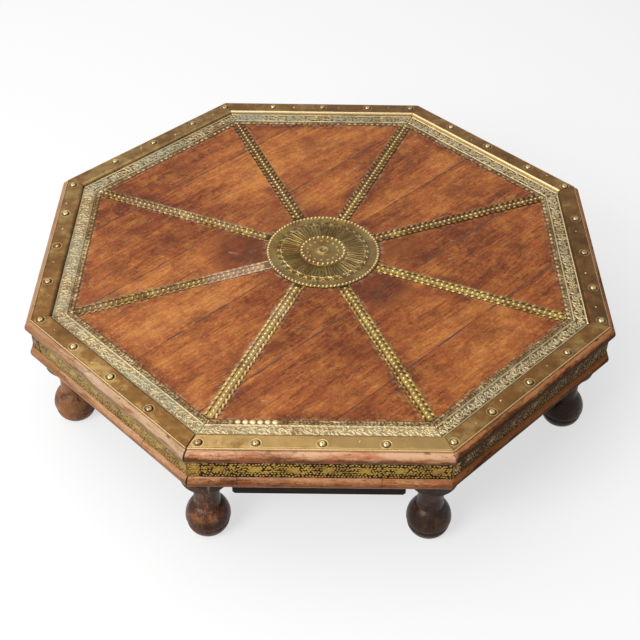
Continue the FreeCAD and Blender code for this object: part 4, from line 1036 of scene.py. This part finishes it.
def foot_wood():
    """Turned feet: upright grain under an old dark finish that is worn through in patches. The
    cups are dull and scraped, the left-hand foot has lost most of its finish, and the feet at the right
    are painted dark as in the table's shadow."""
    colours = bpy.context.scene.low_table_colours

    def fill(nodes, place):
        x, y, z = nodes.parts(place)
        grain = nodes.use(wood_grain(), Vector=nodes.joined(z, x, y), Tone=0.0, Pale=colours.foot_worn,
                          Body=colours.foot_body, Dark=colours.foot_dark_and_shade)
        bare, cup = nodes.rise(x, *BARE_FOOT), nodes.rise(z, *CUP)
        worn = nodes.rise(nodes.weigh(nodes.noise(place, 48.0, 5.0, 0.65), (bare, 0.17)), 0.50, 0.66)
        old = nodes.patches(place, (30.0, 30.0, 60.0), 0.45, 0.62, 4.0)
        scrape = nodes.patches(place, (260.0, 260.0, 30.0), 0.60, 0.70)
        shade = nodes.layers(
            grain["Color"],
            (worn, 0.7, colours.foot_worn),
            (old, nodes.weigh(0.7, (bare, -0.5)), colours.foot_dark_and_shade),
            (cup, 0.7, colours.foot_cup),
            (nodes.times(scrape, cup), 0.5, colours.dust),
            # Painted shadow on the feet at the right.
            (nodes.rise(x, *SHADED_FEET), 0.68, colours.foot_dark_and_shade))
        rough = nodes.weigh(0.26, (old, 0.12), (worn, 0.12), (cup, 0.25))
        return {"Base Color": shade, "Roughness": rough, "Specular IOR Level": 0.19,
                "Bump": (grain["Height"], 0.5, 0.5 * MM)}
    return finish_for("foot_grain", fill)


def under_wood():
    """Bare wood under the table, dark with age."""
    body = bpy.context.scene.low_table_colours.under_body

    def fill(nodes, place):
        out, along, up = nodes.parts(nodes.use(side_places(), Vector=place)["Place"])
        dark, pale = ((*(share * part for part in body[:3]), 1.0) for share in (0.45, 1.9))
        grain = nodes.use(wood_grain(), Vector=nodes.joined(along, out, up), Tone=0.0, Pale=pale,
                          Body=body, Dark=dark)
        return {"Base Color": grain["Color"], "Roughness": nodes.weigh(0.68, (grain["Pores"], 0.2)),
                "Specular IOR Level": 0.12, "Bump": (grain["Height"], 0.6, 0.6 * MM)}
    return finish_for("under_grain", fill)


def paint_nodes(prefix, material):
    """Give the CAD nodes whose names start so this finish."""
    for name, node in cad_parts.items():
        if name.startswith(prefix):
            node.data.materials.clear()
            node.data.materials.append(material)


# ---- operators


class LOWTABLE_OT_woodwork(bpy.types.Operator):
    """Finish the boards, rails, feet and the wood under the table"""
    bl_idname = "lowtable.woodwork"
    bl_label = "Woodwork"

    def execute(self, context):
        paint_nodes("board_", board_wood())
        paint_nodes("rail_", rail_wood())
        paint_nodes("foot_", foot_wood())
        paint_nodes(("batten_", "mitre_keys", "under_cleats"), under_wood())
        return {"FINISHED"}


class LOWTABLE_OT_rim_plates(bpy.types.Operator):
    """Make the folded brass plates on the rim"""
    bl_idname = "lowtable.rim_plates"
    bl_label = "Rim plates"

    def execute(self, context):
        colours = context.scene.low_table_colours
        material = brass("rim_patina", colours.rim_body, colours.rim_dirt_and_shade, colours.dust, 0.1)
        put_strips(SIDES, rim_sheet, "rim_sheet_", "rim_plate_", material)
        return {"FINISHED"}


def nail_finish(colours):
    return brass("nail_patina", colours.border_body, colours.rim_dirt_and_shade, colours.dust)


class LOWTABLE_OT_nails(bpy.types.Operator):
    """Make the domed nails on the rim"""
    bl_idname = "lowtable.nails"
    bl_label = "Domed nails"

    def execute(self, context):
        sizes, sunk = context.scene.low_table_sizes, 0.2 * MM
        middles = np.stack([on_side(index, plate_high.x - sizes.nail_inset, nail_places(index, sizes),
                                    RIM_TOP - sunk) for index in range(len(SIDES))])
        whole = np.ones(middles.shape[:2])
        whole[SIDES.index("left"), 2] = 0.5
        points, faces, raised = round_heads(middles.reshape(-1, 3), sizes.nail_radius, sizes.nail_height,
                                            rings=7, segments=24, seed=5, whole=whole.ravel())
        put_piece("nail_heads", points, faces, raised, nail_finish(context.scene.low_table_colours),
                  ["dome_nails"], aged=-0.04)
        return {"FINISHED"}


class LOWTABLE_OT_pins(bpy.types.Operator):
    """Make the small pins between the nails"""
    bl_idname = "lowtable.pins"
    bl_label = "Small pins"

    def execute(self, context):
        sizes, sunk = context.scene.low_table_sizes, 0.25 * MM
        chance, between_nails = np.random.default_rng(7), np.array([-0.72, -0.27, 0.24])
        half = (plate_high.x - sizes.nail_inset) * MITRE
        middles = np.concatenate([on_side(index, plate_high.x - chance.uniform(7.0, 16.0, 3) * MM,
                                          (between_nails + chance.uniform(-0.09, 0.09, 3)) * half,
                                          RIM_TOP - sunk) for index in range(len(SIDES))])
        whole = chance.uniform(0.6, 1.15, len(middles))
        points, faces, raised = round_heads(middles, sizes.pin_radius, 0.6 * sizes.pin_radius,
                                            rings=3, segments=12, seed=9, whole=whole)
        put_piece("pin_heads", points, faces, raised, nail_finish(context.scene.low_table_colours),
                  [], aged=-0.1, dusty=0.8)
        return {"FINISHED"}


class LOWTABLE_OT_borders(bpy.types.Operator):
    """Make the embossed border strips on the boards"""
    bl_idname = "lowtable.borders"
    bl_label = "Border strips"

    def execute(self, context):
        colours = context.scene.low_table_colours
        material = brass("border_patina", colours.border_body, colours.border_hollow, colours.verdigris)
        put_strips(SIDES, border_strip, "border_relief_", "border_", material)
        return {"FINISHED"}


class LOWTABLE_OT_straps(bpy.types.Operator):
    """Make the beaded straps from the medallion to the corners"""
    bl_idname = "lowtable.straps"
    bl_label = "Beaded straps"

    def execute(self, context):
        colours = context.scene.low_table_colours
        material = brass("strap_patina", colours.strap_body, colours.strap_hollow, colours.strap_dust)
        put_strips(CORNERS, bead_strap, "strap_beads_", "strap_", material)
        return {"FINISHED"}


class LOWTABLE_OT_rosette(bpy.types.Operator):
    """Make the rosette medallion in the middle"""
    bl_idname = "lowtable.rosette"
    bl_label = "Rosette"

    def execute(self, context):
        colours = context.scene.low_table_colours
        material = brass("rosette_patina", colours.rosette_body, colours.rosette_hollow, colours.verdigris)
        points, faces, raised = rosette_points(context.scene.low_table_sizes)
        put_piece("rosette_relief", points, faces, raised, material, ["medallion"], dusty=0.12)
        return {"FINISHED"}


class LOWTABLE_OT_bands(bpy.types.Operator):
    """Make the chased bands round the sides"""
    bl_idname = "lowtable.bands"
    bl_label = "Side bands"

    def execute(self, context):
        colours = context.scene.low_table_colours
        material = brass("band_patina", colours.band_body, colours.band_hollow, colours.dust)
        put_strips(SIDES, side_band, "band_relief_", "band_", material)
        return {"FINISHED"}


class LOWTABLE_OT_stage(bpy.types.Operator):
    """Set the floor, the lamps, the sky and the camera"""
    bl_idname = "lowtable.stage"
    bl_label = "Stage"

    def execute(self, context):
        scene, stage = context.scene, context.scene.low_table_stage
        scene.view_settings.view_transform = "Standard"
        lay_floor(scene.low_table_colours, stage.floor_glow)
        light_sky(scene, stage.sky)
        add_lamp("overhead_lamp", stage.overhead, width=2.8, place=(-0.8, 0.35, 2.4))
        add_lamp("key_lamp", stage.key, width=1.6, place=(-1.9, -2.0, 2.1))
        set_camera(scene, stage)
        return {"FINISHED"}


def lay_floor(colours, glow):
    """Floor at z = 0. It is pale to the eye and to mirrors and greyer to the light that it gives back."""
    half = 6.0
    mesh = bpy.data.meshes.new("studio_floor")
    mesh.from_pydata([(-half, -half, 0.0), (half, -half, 0.0), (half, half, 0.0), (-half, half, 0.0)],
                     [], [(0, 1, 2, 3)])
    floor = bpy.data.objects.new("studio_floor", mesh)
    bpy.context.scene.collection.objects.link(floor)
    material = bpy.data.materials.new("studio_floor")
    material.use_nodes = True
    material.node_tree.nodes.clear()
    nodes = Nodes(material.node_tree)
    plain = nodes.add("ShaderNodeBsdfDiffuse", {"Color": colours.floor_bounce}).outputs[0]
    pale = nodes.add("ShaderNodeBsdfDiffuse", {"Color": colours.floor}).outputs[0]
    white = nodes.add("ShaderNodeEmission", {"Color": (1.0, 1.0, 1.0, 1.0), "Strength": 1.0}).outputs[0]
    shown = nodes.add("ShaderNodeMixShader", {0: glow, 1: pale, 2: white}).outputs[0]
    whole = nodes.add("ShaderNodeMixShader", {0: seen_share(nodes), 1: plain, 2: shown}).outputs[0]
    nodes.add("ShaderNodeOutputMaterial", {"Surface": whole})
    mesh.materials.append(material)


def seen_share(nodes):
    """1 for rays from the camera, from mirrors and through glass, and 0 for the rest."""
    rays = nodes.add("ShaderNodeLightPath").outputs
    return nodes.most(*(rays[kind] for kind in ("Is Camera Ray", "Is Glossy Ray", "Is Transmission Ray")))


def light_sky(scene, strength):
    """Even light all round, seen by the camera and in mirrors as white."""
    scene.world = scene.world or bpy.data.worlds.new("studio_sky")
    scene.world.use_nodes = True
    scene.world.node_tree.nodes.clear()
    nodes = Nodes(scene.world.node_tree)
    even, white = (nodes.add("ShaderNodeBackground", {"Color": (1.0, 1.0, 1.0, 1.0), "Strength": light}).outputs[0]
                   for light in (strength, 1.0))
    whole = nodes.add("ShaderNodeMixShader", {0: seen_share(nodes), 1: even, 2: white}).outputs[0]
    nodes.add("ShaderNodeOutputWorld", {"Surface": whole})


def add_lamp(name, watts, width, place):
    """Square lamp of that width, turned towards the table."""
    aim = Vector((0.0, 0.0, 0.1))
    light = bpy.data.lights.new(name, "AREA")
    light.energy, light.shape, light.size = watts, "SQUARE", width
    lamp = bpy.data.objects.new(name, light)
    lamp.location = place
    lamp.rotation_euler = (aim - Vector(place)).to_track_quat("-Z", "Y").to_euler()
    bpy.context.scene.collection.objects.link(lamp)


def set_camera(scene, stage):
    """Camera turned about the table, raised, drawn back along its line of sight and rolled."""
    lens = bpy.data.cameras.new("view")
    lens.lens, lens.sensor_width = stage.lens, 36.0
    camera = bpy.data.objects.new("view", lens)
    aim = Matrix.Translation((stage.aim_side, -stage.aim, RIM_TOP))
    tilt = Matrix.Rotation(math.pi / 2 - stage.elevation, 4, "X")
    back = Matrix.Translation((0.0, 0.0, stage.distance))
    camera.matrix_world = (Matrix.Rotation(stage.turn, 4, "Z") @ aim @ tilt @ back
                           @ Matrix.Rotation(stage.roll, 4, "Z"))
    scene.collection.objects.link(camera)
    scene.camera = camera


class LOWTABLE_PT_panel(bpy.types.Panel):
    """Lists the steps that dress the table"""
    bl_idname = "LOWTABLE_PT_panel"
    bl_label = "Low table"
    bl_space_type = "VIEW_3D"
    bl_region_type = "UI"
    bl_category = "Low table"

    def draw(self, context):
        for step in STEPS:
            self.layout.operator(step.bl_idname)
        for group in GROUPS:
            box = self.layout.box()
            for name in GROUPS[group].__annotations__:
                box.prop(getattr(context.scene, group), name)


STEPS = (LOWTABLE_OT_woodwork, LOWTABLE_OT_rim_plates, LOWTABLE_OT_nails, LOWTABLE_OT_pins,
         LOWTABLE_OT_borders, LOWTABLE_OT_straps, LOWTABLE_OT_rosette, LOWTABLE_OT_bands, LOWTABLE_OT_stage)
GROUPS = {"low_table_sizes": LowTableSizes, "low_table_colours": LowTableColours, "low_table_stage": LowTableStage}


def register():
    for kind in (*GROUPS.values(), *STEPS, LOWTABLE_PT_panel):
        bpy.utils.register_class(kind)
    for name, kind in GROUPS.items():
        setattr(bpy.types.Scene, name, PointerProperty(type=kind))


def unregister():
    for name in GROUPS:
        delattr(bpy.types.Scene, name)
    for kind in reversed((*GROUPS.values(), *STEPS, LOWTABLE_PT_panel)):
        bpy.utils.unregister_class(kind)


def main():
    register()
    for step in STEPS:
        family, name = step.bl_idname.split(".")
        getattr(getattr(bpy.ops, family), name)()


if __name__ == "__main__":
    main()
